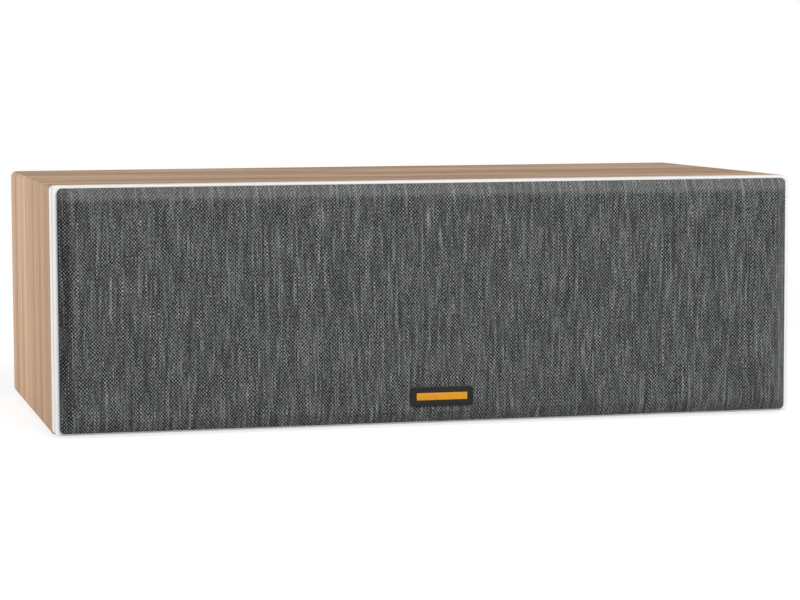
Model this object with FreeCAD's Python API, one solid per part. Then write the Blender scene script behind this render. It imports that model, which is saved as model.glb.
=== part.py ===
import FreeCAD, Part
import math
import os

# Centre channel loudspeaker, in millimetres. +Z is up and the grille faces -Y.
# The origin is the middle of the bounding box's footprint, on the surface the feet stand on.
# One board is folded into a sleeve and closed by a front baffle and a rear panel. Two cone
# woofers and a dome tweeter sit in the baffle behind a cloth grille that pulls off on pegs.

# Cabinet
CABINET_WIDTH = 480.0
CABINET_HEIGHT = 154.0
CABINET_DEPTH = 238.0          # baffle face to rear panel face
WALL_THICK = 15.0
FOLD_RADIUS = 4.0              # outside of the folded long edges
BAFFLE_THICK = 12.0
BAFFLE_CORNER_RADIUS = 3.0
BAFFLE_EDGE_RADIUS = 1.2
REAR_PANEL_THICK = 15.0
BRACE_THICK = 12.0
BRACE_OFFSET = 63.0            # brace centre from the middle of the cabinet
BRACE_BORDER = 22.0            # board left around the brace's window
BRACE_WINDOW_RADIUS = 15.0

# Feet
FOOT_RADIUS = 9.0
FOOT_HEIGHT = 2.0
FOOT_INSET = 34.0              # foot centre from the cabinet's sides and rear, and the baffle
FOOT_EDGE_RADIUS = 0.6

# Grille: cloth stretched over a moulded frame with bevelled edges
GRILLE_SIDE_MARGIN = 3.3       # baffle showing beside the cloth
GRILLE_TOP_MARGIN = 1.5        # baffle showing above and below the cloth
GRILLE_GAP = 0.3               # baffle face to the folded-over cloth
GRILLE_FRAME_THICK = 5.5
GRILLE_CORNER_RADIUS = 3.0
GRILLE_FRONT_RADIUS = 0.9      # corners of the flat front, inside the bevel
BEVEL_WIDTH = 7.5
BEVEL_DEPTH = 4.5
CLOTH_THICK = 0.6
CLOTH_FOLD = 5.5               # cloth turned over the back of the frame
FRAME_BAR = 17.0               # end bars, measured from the edge of the cloth
WINDOW_CLEARANCE = 4.0         # between the frame and the rolls of the woofers' surrounds
FRAME_WINDOW_RADIUS = 12.0
CROSS_BAR_OFFSET = 63.0
CROSS_BAR_WIDTH = 12.0
CROSS_BAR_RECESS = 1.5         # keeps the cross bars from marking the cloth
BADGE_WIDTH = 41.0
BADGE_HEIGHT = 12.0
BADGE_THICK = 1.2
BADGE_RADIUS = 2.0
BADGE_RISE = 18.0              # badge centre above the cabinet's underside
BADGE_SHIFT = 4.0              # badge centre to the right of the middle

# Grille pegs and their cups in the baffle
PEG_INSET = 10.5               # peg centre from the edge of the cloth
PEG_RADIUS = 3.0
PEG_LENGTH = 7.5               # into the cup
PEG_SPIGOT_RADIUS = 2.0
PEG_SPIGOT_LENGTH = 3.5        # into the grille frame
SOCKET_CLEARANCE = 0.3         # around the peg, and around the cup's end
SOCKET_WALL = 1.7
SOCKET_FLANGE_RADIUS = 6.5
SOCKET_FLANGE_THICK = 1.0
SOCKET_DEPTH = 10.5

# Woofers: radii from the driver's axis, depths from the baffle face
WOOFER_FLANGE_RADIUS = 67.0
WOOFER_END_GAP = 23.0          # flange to the end of the cabinet
WOOFER_FLANGE_THICK = 4.0
WOOFER_GASKET_THICK = 1.0
WOOFER_SCREW_INSET = 4.5       # screw centres from the rim of the flange
WOOFER_SCREW_COUNT = 4
SURROUND_INSET = 8.5           # surround's outer lip from the rim of the flange
ROLL_WIDTH = 7.5               # half roll between the surround's two lips
SURROUND_THICK = 0.8
SURROUND_INNER_LIP = 3.0
SURROUND_OUTER_LIP = 4.5
BASKET_WALL = 2.0
BASKET_NECK_INSET = 10.5       # outside of the basket from the rim of the flange
BASKET_WINDOWS = 6
BASKET_SPOKE_ANGLE = 16.0
SPIDER_SEAT_DEPTH = 23.0
SPIDER_SEAT_RADIUS = 46.5
BASKET_CUP_RADIUS = 38.0       # outside of the basket below the spider seat
BASKET_CUP_TAPER = 2.0
BASKET_DEPTH = 34.0            # flange face to the top plate
CONE_THICK = 0.8
CONE_DEPTH = 17.0
DUST_CAP_RADIUS = 18.0
DUST_CAP_HEIGHT = 5.5
DUST_CAP_THICK = 0.6
DUST_CAP_FOOT = 1.3
COIL_INNER_RADIUS = 12.8
FORMER_THICK = 0.4
FORMER_RISE = 1.3              # former standing above the cone's neck
FORMER_TAIL = 1.0              # former beyond the winding
WINDING_THICK = 0.7
WINDING_LENGTH = 12.0
COIL_GAP = 0.6                 # radial air each side of the coil
SPIDER_THICK = 0.5
SPIDER_WAVES = 3
SPIDER_WAVE_HEIGHT = 1.4
SPIDER_NECK = 2.0
SPIDER_FOOT = 9.0
WOOFER_PLATE_RADIUS = 36.0
WOOFER_PLATE_THICK = 5.0
WOOFER_MAGNET_RADIUS = 40.0
WOOFER_MAGNET_BORE = 18.0
WOOFER_MAGNET_THICK = 14.0
WOOFER_YOKE_RADIUS = 37.0
WOOFER_YOKE_THICK = 5.0
WOOFER_VENT_RADIUS = 4.0
YOKE_CHAMFER = 1.0
CUTOUT_CLEARANCE = 0.6         # between a driver and the hole it drops into
TAG_STRIP_LENGTH = 8.0
TAG_STRIP_WIDTH = 12.0
TAG_STRIP_THICK = 2.0
TAG_LENGTH = 8.0
TAG_WIDTH = 3.0
TAG_THICK = 0.8

# Tweeter
TWEETER_RADIUS = 41.0
TWEETER_PLATE_THICK = 4.0
TWEETER_GASKET_THICK = 0.8
TWEETER_SCREW_INSET = 5.0      # screw centres from the rim of the faceplate
TWEETER_SCREW_COUNT = 4
TWEETER_DISH_INSET = 12.0      # dish from the rim of the faceplate
TWEETER_DISH_DEPTH = 2.2
TWEETER_THROAT_RADIUS = 15.8
DOME_RADIUS = 12.5
DOME_HEIGHT = 3.6
DOME_THICK = 0.3
DOME_EDGE_RISE = 0.9
DOME_LIP = 3.2
TWEETER_COIL_LENGTH = 6.0
TWEETER_COIL_THICK = 0.5
TWEETER_GAP = 0.5
TWEETER_POLE_PLATE_STEP = 0.5  # top plate and yoke inside the magnet
TWEETER_POLE_PLATE_THICK = 4.0
TWEETER_MAGNET_INSET = 9.5     # magnet from the rim of the faceplate
TWEETER_MAGNET_BORE = 18.0
TWEETER_MAGNET_THICK = 10.0
TWEETER_YOKE_THICK = 4.0

# Countersunk screws
SCREW_HEAD_RADIUS = 3.2
SCREW_HEAD_HEIGHT = 1.8
SCREW_SHANK_RADIUS = 1.6
SCREW_LENGTH = 14.0
SCREW_FIT = 0.05

# Terminal cup and binding posts
CUP_WIDTH = 90.0
CUP_HEIGHT = 70.0
CUP_FLANGE_THICK = 3.0
CUP_GASKET_THICK = 1.0
CUP_CORNER_RADIUS = 6.0
CUP_MOUTH_MARGIN = 12.0        # flange around the mouth of the recess
CUP_RECESS_DEPTH = 24.0
CUP_DRAFT = 2.0                # recess narrower by this on each side at its floor
CUP_WALL = 2.0
CUP_SCREW_INSET = 5.5
CUP_CUTOUT_CLEARANCE = 1.0
POST_SPACING = 19.0
POST_RADIUS = 4.0
POST_COLLAR_RADIUS = 7.0
POST_COLLAR_THICK = 3.0
POST_TAIL = 12.0               # thread behind the cup's floor
POST_REACH = 18.0              # post beyond its collar
PLUG_BORE_RADIUS = 2.0
PLUG_BORE_DEPTH = 12.5
WIRE_HOLE_RADIUS = 1.5
WIRE_HOLE_RISE = 2.6           # wire hole centre above the collar
CAP_RADIUS = 7.5
CAP_LENGTH = 18.7
CAP_SEAT_GAP = 0.3
CAP_THREAD_CLEARANCE = 0.1
CAP_END_THICK = 0.8
CAP_MOUTH_RADIUS = 2.6
CAP_CHAMFER = 0.8
CAP_FLUTES = 12
CAP_FLUTE_RADIUS = 1.2
CAP_FLUTE_DEPTH = 0.5
NUT_RADIUS = 7.2
NUT_THICK = 5.0

# Reflex ports
PORT_RADIUS = 20.0
PORT_WALL = 2.0
PORT_LENGTH = 110.0
PORT_FLARE = 9.0
PORT_FLANGE_RADIUS = 33.0
PORT_FLANGE_THICK = 3.0
PORT_FLANGE_CHAMFER = 1.0
PORT_COLLAR_RADIUS = 30.0
PORT_COLLAR_LENGTH = 13.0
PORT_FIT = 0.2

# Crossover on the cabinet floor
BOARD_WIDTH = 108.0
BOARD_DEPTH = 92.0
BOARD_THICK = 1.6
BOARD_SHIFT = 4.0              # board centre behind the middle of the object
SPACER_HEIGHT = 6.0
SPACER_RADIUS = 3.5
SPACER_INSET = 5.0
BASS_COIL_RADIUS = 22.0
BASS_COIL_HEIGHT = 22.0
TREBLE_COIL_RADIUS = 14.0
TREBLE_COIL_HEIGHT = 16.0
COIL_BORE_SHARE = 0.4          # core hole as a share of the coil's radius
BOBBIN_FLANGE = 2.0
BOBBIN_STEP = 1.5              # winding short of the bobbin's rim
CAPACITOR_RADIUS = 8.0
CAPACITOR_LENGTH = 30.0
CAPACITOR_PITCH = 18.0
CAPACITOR_EDGE = 1.0
RESISTOR_LENGTH = 24.0
RESISTOR_SIDE = 9.0

# Wadding and leads
WADDING_THICK = 20.0
WADDING_INSET = 6.0            # wadding short of the walls around it
WADDING_RADIUS = 8.0
LEAD_RADIUS = 1.6
LEAD_BEND = 8.0
LEAD_STEP = 12.0               # last run of a lead from the inside of a brace
LEAD_DROP_HEIGHT = 24.0        # last, upright run of a lead, above the crossover board
LEAD_INSET = 8.0               # lead ends from the edge of the crossover board

# Stations along Y, heights, and radii that follow a driver's rim
GRILLE_PROUD = GRILLE_GAP + CLOTH_THICK + GRILLE_FRAME_THICK + CLOTH_THICK
REAR_PROUD = CUP_GASKET_THICK + CUP_FLANGE_THICK
TOTAL_DEPTH = BADGE_THICK + GRILLE_PROUD + CABINET_DEPTH + REAR_PROUD
BAFFLE_Y = BADGE_THICK + GRILLE_PROUD - TOTAL_DEPTH / 2
WRAP_Y = BAFFLE_Y + BAFFLE_THICK
REAR_Y = BAFFLE_Y + CABINET_DEPTH
REAR_INNER_Y = REAR_Y - REAR_PANEL_THICK
MIDDLE_Z = FOOT_HEIGHT + CABINET_HEIGHT / 2
FLOOR_Z = FOOT_HEIGHT + WALL_THICK
INNER_WIDTH = CABINET_WIDTH - 2 * WALL_THICK
INNER_HEIGHT = CABINET_HEIGHT - 2 * WALL_THICK
CLOTH_WIDTH = CABINET_WIDTH - 2 * GRILLE_SIDE_MARGIN
CLOTH_HEIGHT = CABINET_HEIGHT - 2 * GRILLE_TOP_MARGIN
WOOFER_OFFSET = CABINET_WIDTH / 2 - WOOFER_END_GAP - WOOFER_FLANGE_RADIUS
WOOFER_SCREW_CIRCLE = WOOFER_FLANGE_RADIUS - WOOFER_SCREW_INSET
BASKET_NECK_RADIUS = WOOFER_FLANGE_RADIUS - BASKET_NECK_INSET
LIP_OUTER_RADIUS = WOOFER_FLANGE_RADIUS - SURROUND_INSET
ROLL_OUTER_RADIUS = LIP_OUTER_RADIUS - SURROUND_OUTER_LIP
ROLL_INNER_RADIUS = ROLL_OUTER_RADIUS - ROLL_WIDTH
TWEETER_SCREW_CIRCLE = TWEETER_RADIUS - TWEETER_SCREW_INSET
TWEETER_DISH_RADIUS = TWEETER_RADIUS - TWEETER_DISH_INSET
TWEETER_MAGNET_RADIUS = TWEETER_RADIUS - TWEETER_MAGNET_INSET
TWEETER_POLE_PLATE_RADIUS = TWEETER_MAGNET_RADIUS - TWEETER_POLE_PLATE_STEP

V = FreeCAD.Vector
BACK = V(0, 1, 0)
FRONT = V(0, -1, 0)
UP = V(0, 0, 1)
SIDES = {"left": -1, "right": 1}


def outline(origin, axis, steps):
    """Closed wire beside an axis. A step (r, d) is a line to radius r at distance d along the
    axis, and a step ((r, d), (r, d)) is an arc through its first point to its second."""
    def place(step):
        return origin + V(step[0], 0, 0) + axis * step[1]
    here = place(steps[0])
    edges = []
    for step in list(steps[1:]) + [steps[0]]:
        if isinstance(step[0], tuple):
            end = place(step[1])
            edges.append(Part.Arc(here, place(step[0]), end).toShape())
        else:
            end = place(step)
            edges.append(Part.LineSegment(here, end).toShape())
        here = end
    return Part.Wire(edges)


def lathe(origin, axis, *steps, angle=360):
    """Solid turned from an outline about its axis."""
    return Part.Face(outline(origin, axis, steps)).revolve(origin, axis, angle)


def ring(origin, axis, inner, outer, near, far):
    """Plain turned ring between two radii and two distances."""
    return lathe(origin, axis, (inner, near), (outer, near), (outer, far), (inner, far))


def rounded_wire(width, height, radius, x, y, z):
    """Rounded rectangle facing Y, centred on a point."""
    centres = [(1, 1), (-1, 1), (-1, -1), (1, -1)]
    arcs = []
    for turn, (across, upward) in enumerate(centres):
        cx = x + across * (width / 2 - radius)
        cz = z + upward * (height / 2 - radius)
        angles = [math.radians(90 * turn + part) for part in (0, 45, 90)]
        arcs.append([V(cx + radius * math.cos(a), y, cz + radius * math.sin(a)) for a in angles])
    edges = []
    for arc, following in zip(arcs, arcs[1:] + arcs[:1]):
        edges.append(Part.Arc(*arc).toShape())
        edges.append(Part.LineSegment(arc[2], following[0]).toShape())
    return Part.Wire(edges)


def slab(width, height, radius, y_from, y_to, x=0.0, z=MIDDLE_Z):
    """Board with rounded corners, facing Y."""
    return Part.Face(rounded_wire(width, height, radius, x, y_from, z)).extrude(V(0, y_to - y_from, 0))


def tapered(near, far, x=0.0, z=MIDDLE_Z):
    """Straight-sided loft between two (width, height, radius, y) rounded rectangles."""
    wires = [rounded_wire(width, height, radius, x, y, z) for width, height, radius, y in (near, far)]
    return Part.makeLoft(wires, True, True)


def box(x_from, x_to, y_from, y_to, z_from, z_to):
    """Plain block between six planes."""
    return Part.makeBox(x_to - x_from, y_to - y_from, z_to - z_from, V(x_from, y_from, z_from))


def edges_at_y(shape, y):
    """Edges that lie wholly in one plane facing Y."""
    return [e for e in shape.Edges if abs(e.BoundBox.YMin - y) < 0.001 and abs(e.BoundBox.YMax - y) < 0.001]


def screw(origin, axis, fit=0.0):
    """Countersunk screw with its head flush at the origin, or its hole when given a fit."""
    head = SCREW_HEAD_RADIUS + fit
    shank = SCREW_SHANK_RADIUS + fit
    return lathe(origin, axis, (0, 0), (head, 0), (shank, SCREW_HEAD_HEIGHT),
                 (shank, SCREW_LENGTH), (0, SCREW_LENGTH))


def circle_points(x, y, z, radius, count):
    """Points spaced round a circle facing Y, the first of them half a step from +X."""
    angles = [2 * math.pi * (step + 0.5) / count for step in range(count)]
    return [V(x + radius * math.cos(a), y, z + radius * math.sin(a)) for a in angles]


def woofer_centre(side):
    return V(SIDES[side] * WOOFER_OFFSET, BAFFLE_Y, MIDDLE_Z)


def tweeter_centre():
    return V(0, BAFFLE_Y, MIDDLE_Z)


def woofer_screw_points():
    points = []
    for side in SIDES:
        centre = woofer_centre(side)
        points += circle_points(centre.x, centre.y, centre.z, WOOFER_SCREW_CIRCLE, WOOFER_SCREW_COUNT)
    return points


def tweeter_screw_points():
    return circle_points(0, BAFFLE_Y, MIDDLE_Z, TWEETER_SCREW_CIRCLE, TWEETER_SCREW_COUNT)


def cup_screw_points():
    across = CUP_WIDTH / 2 - CUP_SCREW_INSET
    upward = CUP_HEIGHT / 2 - CUP_SCREW_INSET
    return [V(i * across, REAR_Y + REAR_PROUD, MIDDLE_Z + j * upward) for i in (-1, 1) for j in (-1, 1)]


def peg_points():
    upward = CLOTH_HEIGHT / 2 - PEG_INSET
    columns = (-(CLOTH_WIDTH / 2 - PEG_INSET), 0.0, CLOTH_WIDTH / 2 - PEG_INSET)
    return [V(x, BAFFLE_Y, MIDDLE_Z + j * upward) for x in columns for j in (-1, 1)]


def socket_outline(fit=0.0):
    """Outside of a peg cup, or of its hole when given a fit."""
    body = PEG_RADIUS + SOCKET_CLEARANCE + SOCKET_WALL + fit
    flange = SOCKET_FLANGE_RADIUS + fit
    return [(0, 0), (flange, 0), (flange, SOCKET_FLANGE_THICK), (body, SOCKET_FLANGE_THICK),
            (body, SOCKET_DEPTH), (0, SOCKET_DEPTH)]


def driver_cutter(centre, flange_radius, rebate_depth, cutout_radius):
    """Stepped hole through the baffle for a driver whose flange lies flush."""
    wide = flange_radius + CUTOUT_CLEARANCE / 2
    return lathe(centre, BACK, (0, 0), (wide, 0), (wide, rebate_depth), (cutout_radius, rebate_depth),
                 (cutout_radius, BAFFLE_THICK), (0, BAFFLE_THICK))


WOOFER_REBATE = WOOFER_FLANGE_THICK + WOOFER_GASKET_THICK
WOOFER_CUTOUT = BASKET_NECK_RADIUS + CUTOUT_CLEARANCE
TWEETER_REBATE = TWEETER_PLATE_THICK + TWEETER_GASKET_THICK
TWEETER_CUTOUT = TWEETER_MAGNET_RADIUS + CUTOUT_CLEARANCE


def cabinet():
    wrap = slab(CABINET_WIDTH, CABINET_HEIGHT, FOLD_RADIUS, WRAP_Y, REAR_Y)
    half_width = INNER_WIDTH / 2
    wrap = wrap.cut(box(-half_width, half_width, WRAP_Y, REAR_Y, FLOOR_Z, FLOOR_Z + INNER_HEIGHT))

    baffle = slab(CABINET_WIDTH, CABINET_HEIGHT, BAFFLE_CORNER_RADIUS, BAFFLE_Y, WRAP_Y)
    baffle = baffle.makeFillet(BAFFLE_EDGE_RADIUS, edges_at_y(baffle, BAFFLE_Y))
    cutters = [driver_cutter(woofer_centre(side), WOOFER_FLANGE_RADIUS, WOOFER_REBATE, WOOFER_CUTOUT)
               for side in SIDES]
    cutters.append(driver_cutter(tweeter_centre(), TWEETER_RADIUS, TWEETER_REBATE, TWEETER_CUTOUT))
    cutters += [screw(point, BACK, SCREW_FIT) for point in woofer_screw_points() + tweeter_screw_points()]
    cutters += [lathe(point, BACK, *socket_outline(SCREW_FIT)) for point in peg_points()]
    for cutter in cutters:
        baffle = baffle.cut(cutter)

    rear = box(-half_width, half_width, REAR_INNER_Y, REAR_Y, FLOOR_Z, FLOOR_Z + INNER_HEIGHT)
    mouth = 2 * (CUP_WALL + CUP_CUTOUT_CLEARANCE - CUP_MOUTH_MARGIN)
    rear = rear.cut(slab(CUP_WIDTH + mouth, CUP_HEIGHT + mouth, CUP_CORNER_RADIUS, REAR_INNER_Y, REAR_Y))
    for side in SIDES:
        hole = V(SIDES[side] * WOOFER_OFFSET, REAR_INNER_Y, MIDDLE_Z)
        rear = rear.cut(Part.makeCylinder(PORT_COLLAR_RADIUS + PORT_FIT, REAR_PANEL_THICK, hole, BACK))
    for point in cup_screw_points():
        rear = rear.cut(screw(point, FRONT, SCREW_FIT))
    nodes = {"cabinet_wrap": wrap, "front_baffle": baffle, "rear_panel": rear}

    window_depth = REAR_INNER_Y - WRAP_Y - 2 * BRACE_BORDER
    window_height = INNER_HEIGHT - 2 * BRACE_BORDER
    for side in SIDES:
        x_from = SIDES[side] * BRACE_OFFSET - BRACE_THICK / 2
        brace = box(x_from, x_from + BRACE_THICK, WRAP_Y, REAR_INNER_Y, FLOOR_Z, FLOOR_Z + INNER_HEIGHT)
        window = slab(window_depth, window_height, BRACE_WINDOW_RADIUS, 0, BRACE_THICK)
        window.rotate(V(0, 0, MIDDLE_Z), UP, 90)
        window.translate(V(x_from + BRACE_THICK, (WRAP_Y + REAR_INNER_Y) / 2, 0))
        nodes["brace_" + side] = brace.cut(window)

    feet = []
    y_front = BAFFLE_Y + FOOT_INSET
    y_rear = REAR_Y - FOOT_INSET
    for x in (FOOT_INSET - CABINET_WIDTH / 2, CABINET_WIDTH / 2 - FOOT_INSET):
        for y in (y_front, y_rear):
            foot = Part.makeCylinder(FOOT_RADIUS, FOOT_HEIGHT, V(x, y, 0), UP)
            rim = [e for e in foot.Edges if e.BoundBox.ZMax < FOOT_HEIGHT / 2]
            feet.append(foot.makeFillet(FOOT_EDGE_RADIUS, rim))
    nodes["feet"] = Part.makeCompound(feet)
    return nodes


def bevelled_block(inset, back):
    """Grille outline set in by a thickness from the cloth's outside, from `back` to its front.
    Distances run forward from the baffle face."""
    slope = math.atan2(BEVEL_DEPTH, BEVEL_WIDTH)
    shoulder = GRILLE_PROUD - BEVEL_DEPTH - inset * math.cos(slope) / (1 + math.sin(slope))
    shrink = BEVEL_WIDTH + inset * math.sin(slope) / (1 + math.cos(slope))
    outer = (CLOTH_WIDTH - 2 * inset, CLOTH_HEIGHT - 2 * inset, GRILLE_CORNER_RADIUS - inset)
    front = (CLOTH_WIDTH - 2 * shrink, CLOTH_HEIGHT - 2 * shrink, GRILLE_FRONT_RADIUS)
    straight = slab(*outer, BAFFLE_Y - shoulder, BAFFLE_Y - back)
    bevel = tapered(outer + (BAFFLE_Y - shoulder,), front + (BAFFLE_Y - GRILLE_PROUD + inset,))
    return straight.fuse(bevel).removeSplitter()


def grille():
    frame_back = GRILLE_GAP + CLOTH_THICK
    frame_front = GRILLE_PROUD - CLOTH_THICK
    core = bevelled_block(CLOTH_THICK, frame_back)
    opening = slab(CLOTH_WIDTH - 2 * CLOTH_FOLD, CLOTH_HEIGHT - 2 * CLOTH_FOLD, GRILLE_FRONT_RADIUS,
                   BAFFLE_Y - frame_back, BAFFLE_Y - GRILLE_GAP)
    cloth = bevelled_block(0.0, GRILLE_GAP).cut(core).cut(opening)

    window_height = 2 * (ROLL_OUTER_RADIUS + WINDOW_CLEARANCE)
    bar_inner = CROSS_BAR_OFFSET - CROSS_BAR_WIDTH / 2
    bar_outer = CROSS_BAR_OFFSET + CROSS_BAR_WIDTH / 2
    window_edge = CLOTH_WIDTH / 2 - FRAME_BAR
    y_front = BAFFLE_Y - frame_front
    y_back = BAFFLE_Y - frame_back
    frame = core.cut(slab(2 * bar_inner, window_height, FRAME_WINDOW_RADIUS, y_front, y_back))
    for sign in SIDES.values():
        middle = sign * (window_edge + bar_outer) / 2
        frame = frame.cut(slab(window_edge - bar_outer, window_height, FRAME_WINDOW_RADIUS,
                               y_front, y_back, x=middle))
        bar_x = sign * CROSS_BAR_OFFSET
        reach = CROSS_BAR_WIDTH / 2 + FRAME_WINDOW_RADIUS
        frame = frame.cut(box(bar_x - reach, bar_x + reach, y_front, y_front + CROSS_BAR_RECESS,
                              MIDDLE_Z - window_height / 2, MIDDLE_Z + window_height / 2))
    pegs = []
    sockets = []
    for point in peg_points():
        spigot_end = -frame_back - PEG_SPIGOT_LENGTH
        frame = frame.cut(ring(point, BACK, 0, PEG_SPIGOT_RADIUS, spigot_end, -frame_back))
        ball = PEG_LENGTH - PEG_RADIUS
        lean = PEG_RADIUS * math.sqrt(0.5)
        pegs.append(lathe(point, BACK, (0, spigot_end), (PEG_SPIGOT_RADIUS, spigot_end),
                          (PEG_SPIGOT_RADIUS, -frame_back), (PEG_RADIUS, -frame_back), (PEG_RADIUS, ball),
                          ((lean, ball + lean), (0, PEG_LENGTH))))
        bore = PEG_RADIUS + SOCKET_CLEARANCE
        cup = lathe(point, BACK, *socket_outline())
        sockets.append(cup.cut(ring(point, BACK, 0, bore, 0, SOCKET_DEPTH - SOCKET_WALL)))

    badge_y = BAFFLE_Y - GRILLE_PROUD
    badge = slab(BADGE_WIDTH, BADGE_HEIGHT, BADGE_RADIUS, badge_y - BADGE_THICK, badge_y,
                 x=BADGE_SHIFT, z=FOOT_HEIGHT + BADGE_RISE)
    return {"grille_frame": frame, "grille_cloth": cloth, "grille_pegs": Part.makeCompound(pegs),
            "peg_sockets": Part.makeCompound(sockets), "grille_badge": badge}


CONE_RIM_RADIUS = ROLL_INNER_RADIUS - SURROUND_INNER_LIP
FORMER_RADIUS = COIL_INNER_RADIUS + FORMER_THICK
WINDING_RADIUS = FORMER_RADIUS + WINDING_THICK
NECK_DEPTH = SURROUND_THICK + CONE_DEPTH
WINDING_MIDDLE = BASKET_DEPTH + WOOFER_PLATE_THICK / 2
MAGNET_DEPTH = BASKET_DEPTH + WOOFER_PLATE_THICK
YOKE_DEPTH = MAGNET_DEPTH + WOOFER_MAGNET_THICK


def cone_front(radius):
    """Depth of the cone's front face at a radius."""
    slope = CONE_DEPTH / (CONE_RIM_RADIUS - FORMER_RADIUS)
    return SURROUND_THICK + (CONE_RIM_RADIUS - radius) * slope


def dome_point(radius, base_radius, height, apex):
    """Point of a spherical dome that rises by `height` over a base radius to `apex`."""
    sphere = (base_radius ** 2 + height ** 2) / (2 * height)
    return (radius, apex + sphere - math.sqrt(sphere ** 2 - radius ** 2))


def basket(centre):
    """Pressed chassis: flange, windowed conical wall, spider seat and a cup down to the magnet."""
    seat_back = SPIDER_SEAT_DEPTH + BASKET_WALL
    cup_inner = BASKET_CUP_RADIUS - BASKET_WALL
    coil_hole = WINDING_RADIUS + 2 * COIL_GAP
    lip_edge = LIP_OUTER_RADIUS + SCREW_FIT
    body = lathe(centre, BACK, (WOOFER_FLANGE_RADIUS, 0), (WOOFER_FLANGE_RADIUS, WOOFER_FLANGE_THICK),
                 (BASKET_NECK_RADIUS, WOOFER_FLANGE_THICK), (SPIDER_SEAT_RADIUS + BASKET_WALL, seat_back),
                 (BASKET_CUP_RADIUS, seat_back), (BASKET_CUP_RADIUS - BASKET_CUP_TAPER, BASKET_DEPTH),
                 (coil_hole, BASKET_DEPTH), (coil_hole, BASKET_DEPTH - BASKET_WALL),
                 (cup_inner - BASKET_CUP_TAPER, BASKET_DEPTH - BASKET_WALL), (cup_inner, SPIDER_SEAT_DEPTH),
                 (SPIDER_SEAT_RADIUS, SPIDER_SEAT_DEPTH), (ROLL_OUTER_RADIUS, SURROUND_THICK),
                 (lip_edge, SURROUND_THICK), (lip_edge, 0))
    step = 360 / BASKET_WINDOWS
    near = WOOFER_FLANGE_THICK + BASKET_WALL
    window = lathe(centre, BACK, (BASKET_CUP_RADIUS, near), (WOOFER_FLANGE_RADIUS, near),
                   (WOOFER_FLANGE_RADIUS, SPIDER_SEAT_DEPTH - BASKET_WALL),
                   (BASKET_CUP_RADIUS, SPIDER_SEAT_DEPTH - BASKET_WALL), angle=step - BASKET_SPOKE_ANGLE)
    for turn in range(BASKET_WINDOWS):
        cutter = window.copy()
        cutter.rotate(centre, BACK, step * turn + BASKET_SPOKE_ANGLE / 2)
        body = body.cut(cutter)
    return body


def surround(centre):
    """Rubber edge: a half roll between a lip on the cone and a lip in the flange."""
    crown = (ROLL_INNER_RADIUS + ROLL_OUTER_RADIUS) / 2
    inner_start = ROLL_INNER_RADIUS + SURROUND_THICK
    inner_end = ROLL_OUTER_RADIUS - SURROUND_THICK
    rise = ROLL_WIDTH / 2
    return lathe(centre, BACK, (CONE_RIM_RADIUS, 0), (ROLL_INNER_RADIUS, 0),
                 ((crown, -rise), (ROLL_OUTER_RADIUS, 0)), (LIP_OUTER_RADIUS, 0),
                 (LIP_OUTER_RADIUS, SURROUND_THICK), (inner_end, SURROUND_THICK), (inner_end, 0),
                 ((crown, SURROUND_THICK - rise), (inner_start, 0)), (inner_start, SURROUND_THICK),
                 (CONE_RIM_RADIUS, SURROUND_THICK))


def spider(centre):
    """Corrugated cloth disc that centres the coil."""
    start = FORMER_RADIUS + SPIDER_NECK
    end = SPIDER_SEAT_RADIUS - SPIDER_FOOT
    half_waves = 2 * SPIDER_WAVES
    pitch = (end - start) / half_waves
    faces = []
    for level in (SPIDER_SEAT_DEPTH - SPIDER_THICK, SPIDER_SEAT_DEPTH):
        crests = []
        for turn in range(half_waves):
            sway = SPIDER_WAVE_HEIGHT * (-1) ** turn
            crests.append(((start + (turn + 0.5) * pitch, level + sway), (start + (turn + 1) * pitch, level)))
        faces.append(crests)
    front, back = SPIDER_SEAT_DEPTH - SPIDER_THICK, SPIDER_SEAT_DEPTH
    returning = []
    for turn in reversed(range(half_waves)):
        returning.append((faces[1][turn][0], (start + turn * pitch, back)))
    foot = SPIDER_SEAT_RADIUS - SPIDER_THICK
    return lathe(centre, BACK, (FORMER_RADIUS, front), (start, front), *faces[0], (foot, front),
                 (foot, back), (end, back), *returning, (FORMER_RADIUS, back))


def dust_cap(centre):
    """Domed cap glued to the cone over the coil."""
    foot = cone_front(DUST_CAP_RADIUS)
    apex = foot - DUST_CAP_HEIGHT
    inner_radius = DUST_CAP_RADIUS - DUST_CAP_FOOT
    inner_foot = cone_front(inner_radius)
    inner_apex = apex + DUST_CAP_THICK
    inner_height = inner_foot - inner_apex
    outer_middle = dome_point(DUST_CAP_RADIUS / 2, DUST_CAP_RADIUS, DUST_CAP_HEIGHT, apex)
    inner_middle = dome_point(inner_radius / 2, inner_radius, inner_height, inner_apex)
    return lathe(centre, BACK, (DUST_CAP_RADIUS, foot), (outer_middle, (0, apex)), (0, inner_apex),
                 (inner_middle, (inner_radius, inner_foot)))


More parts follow.
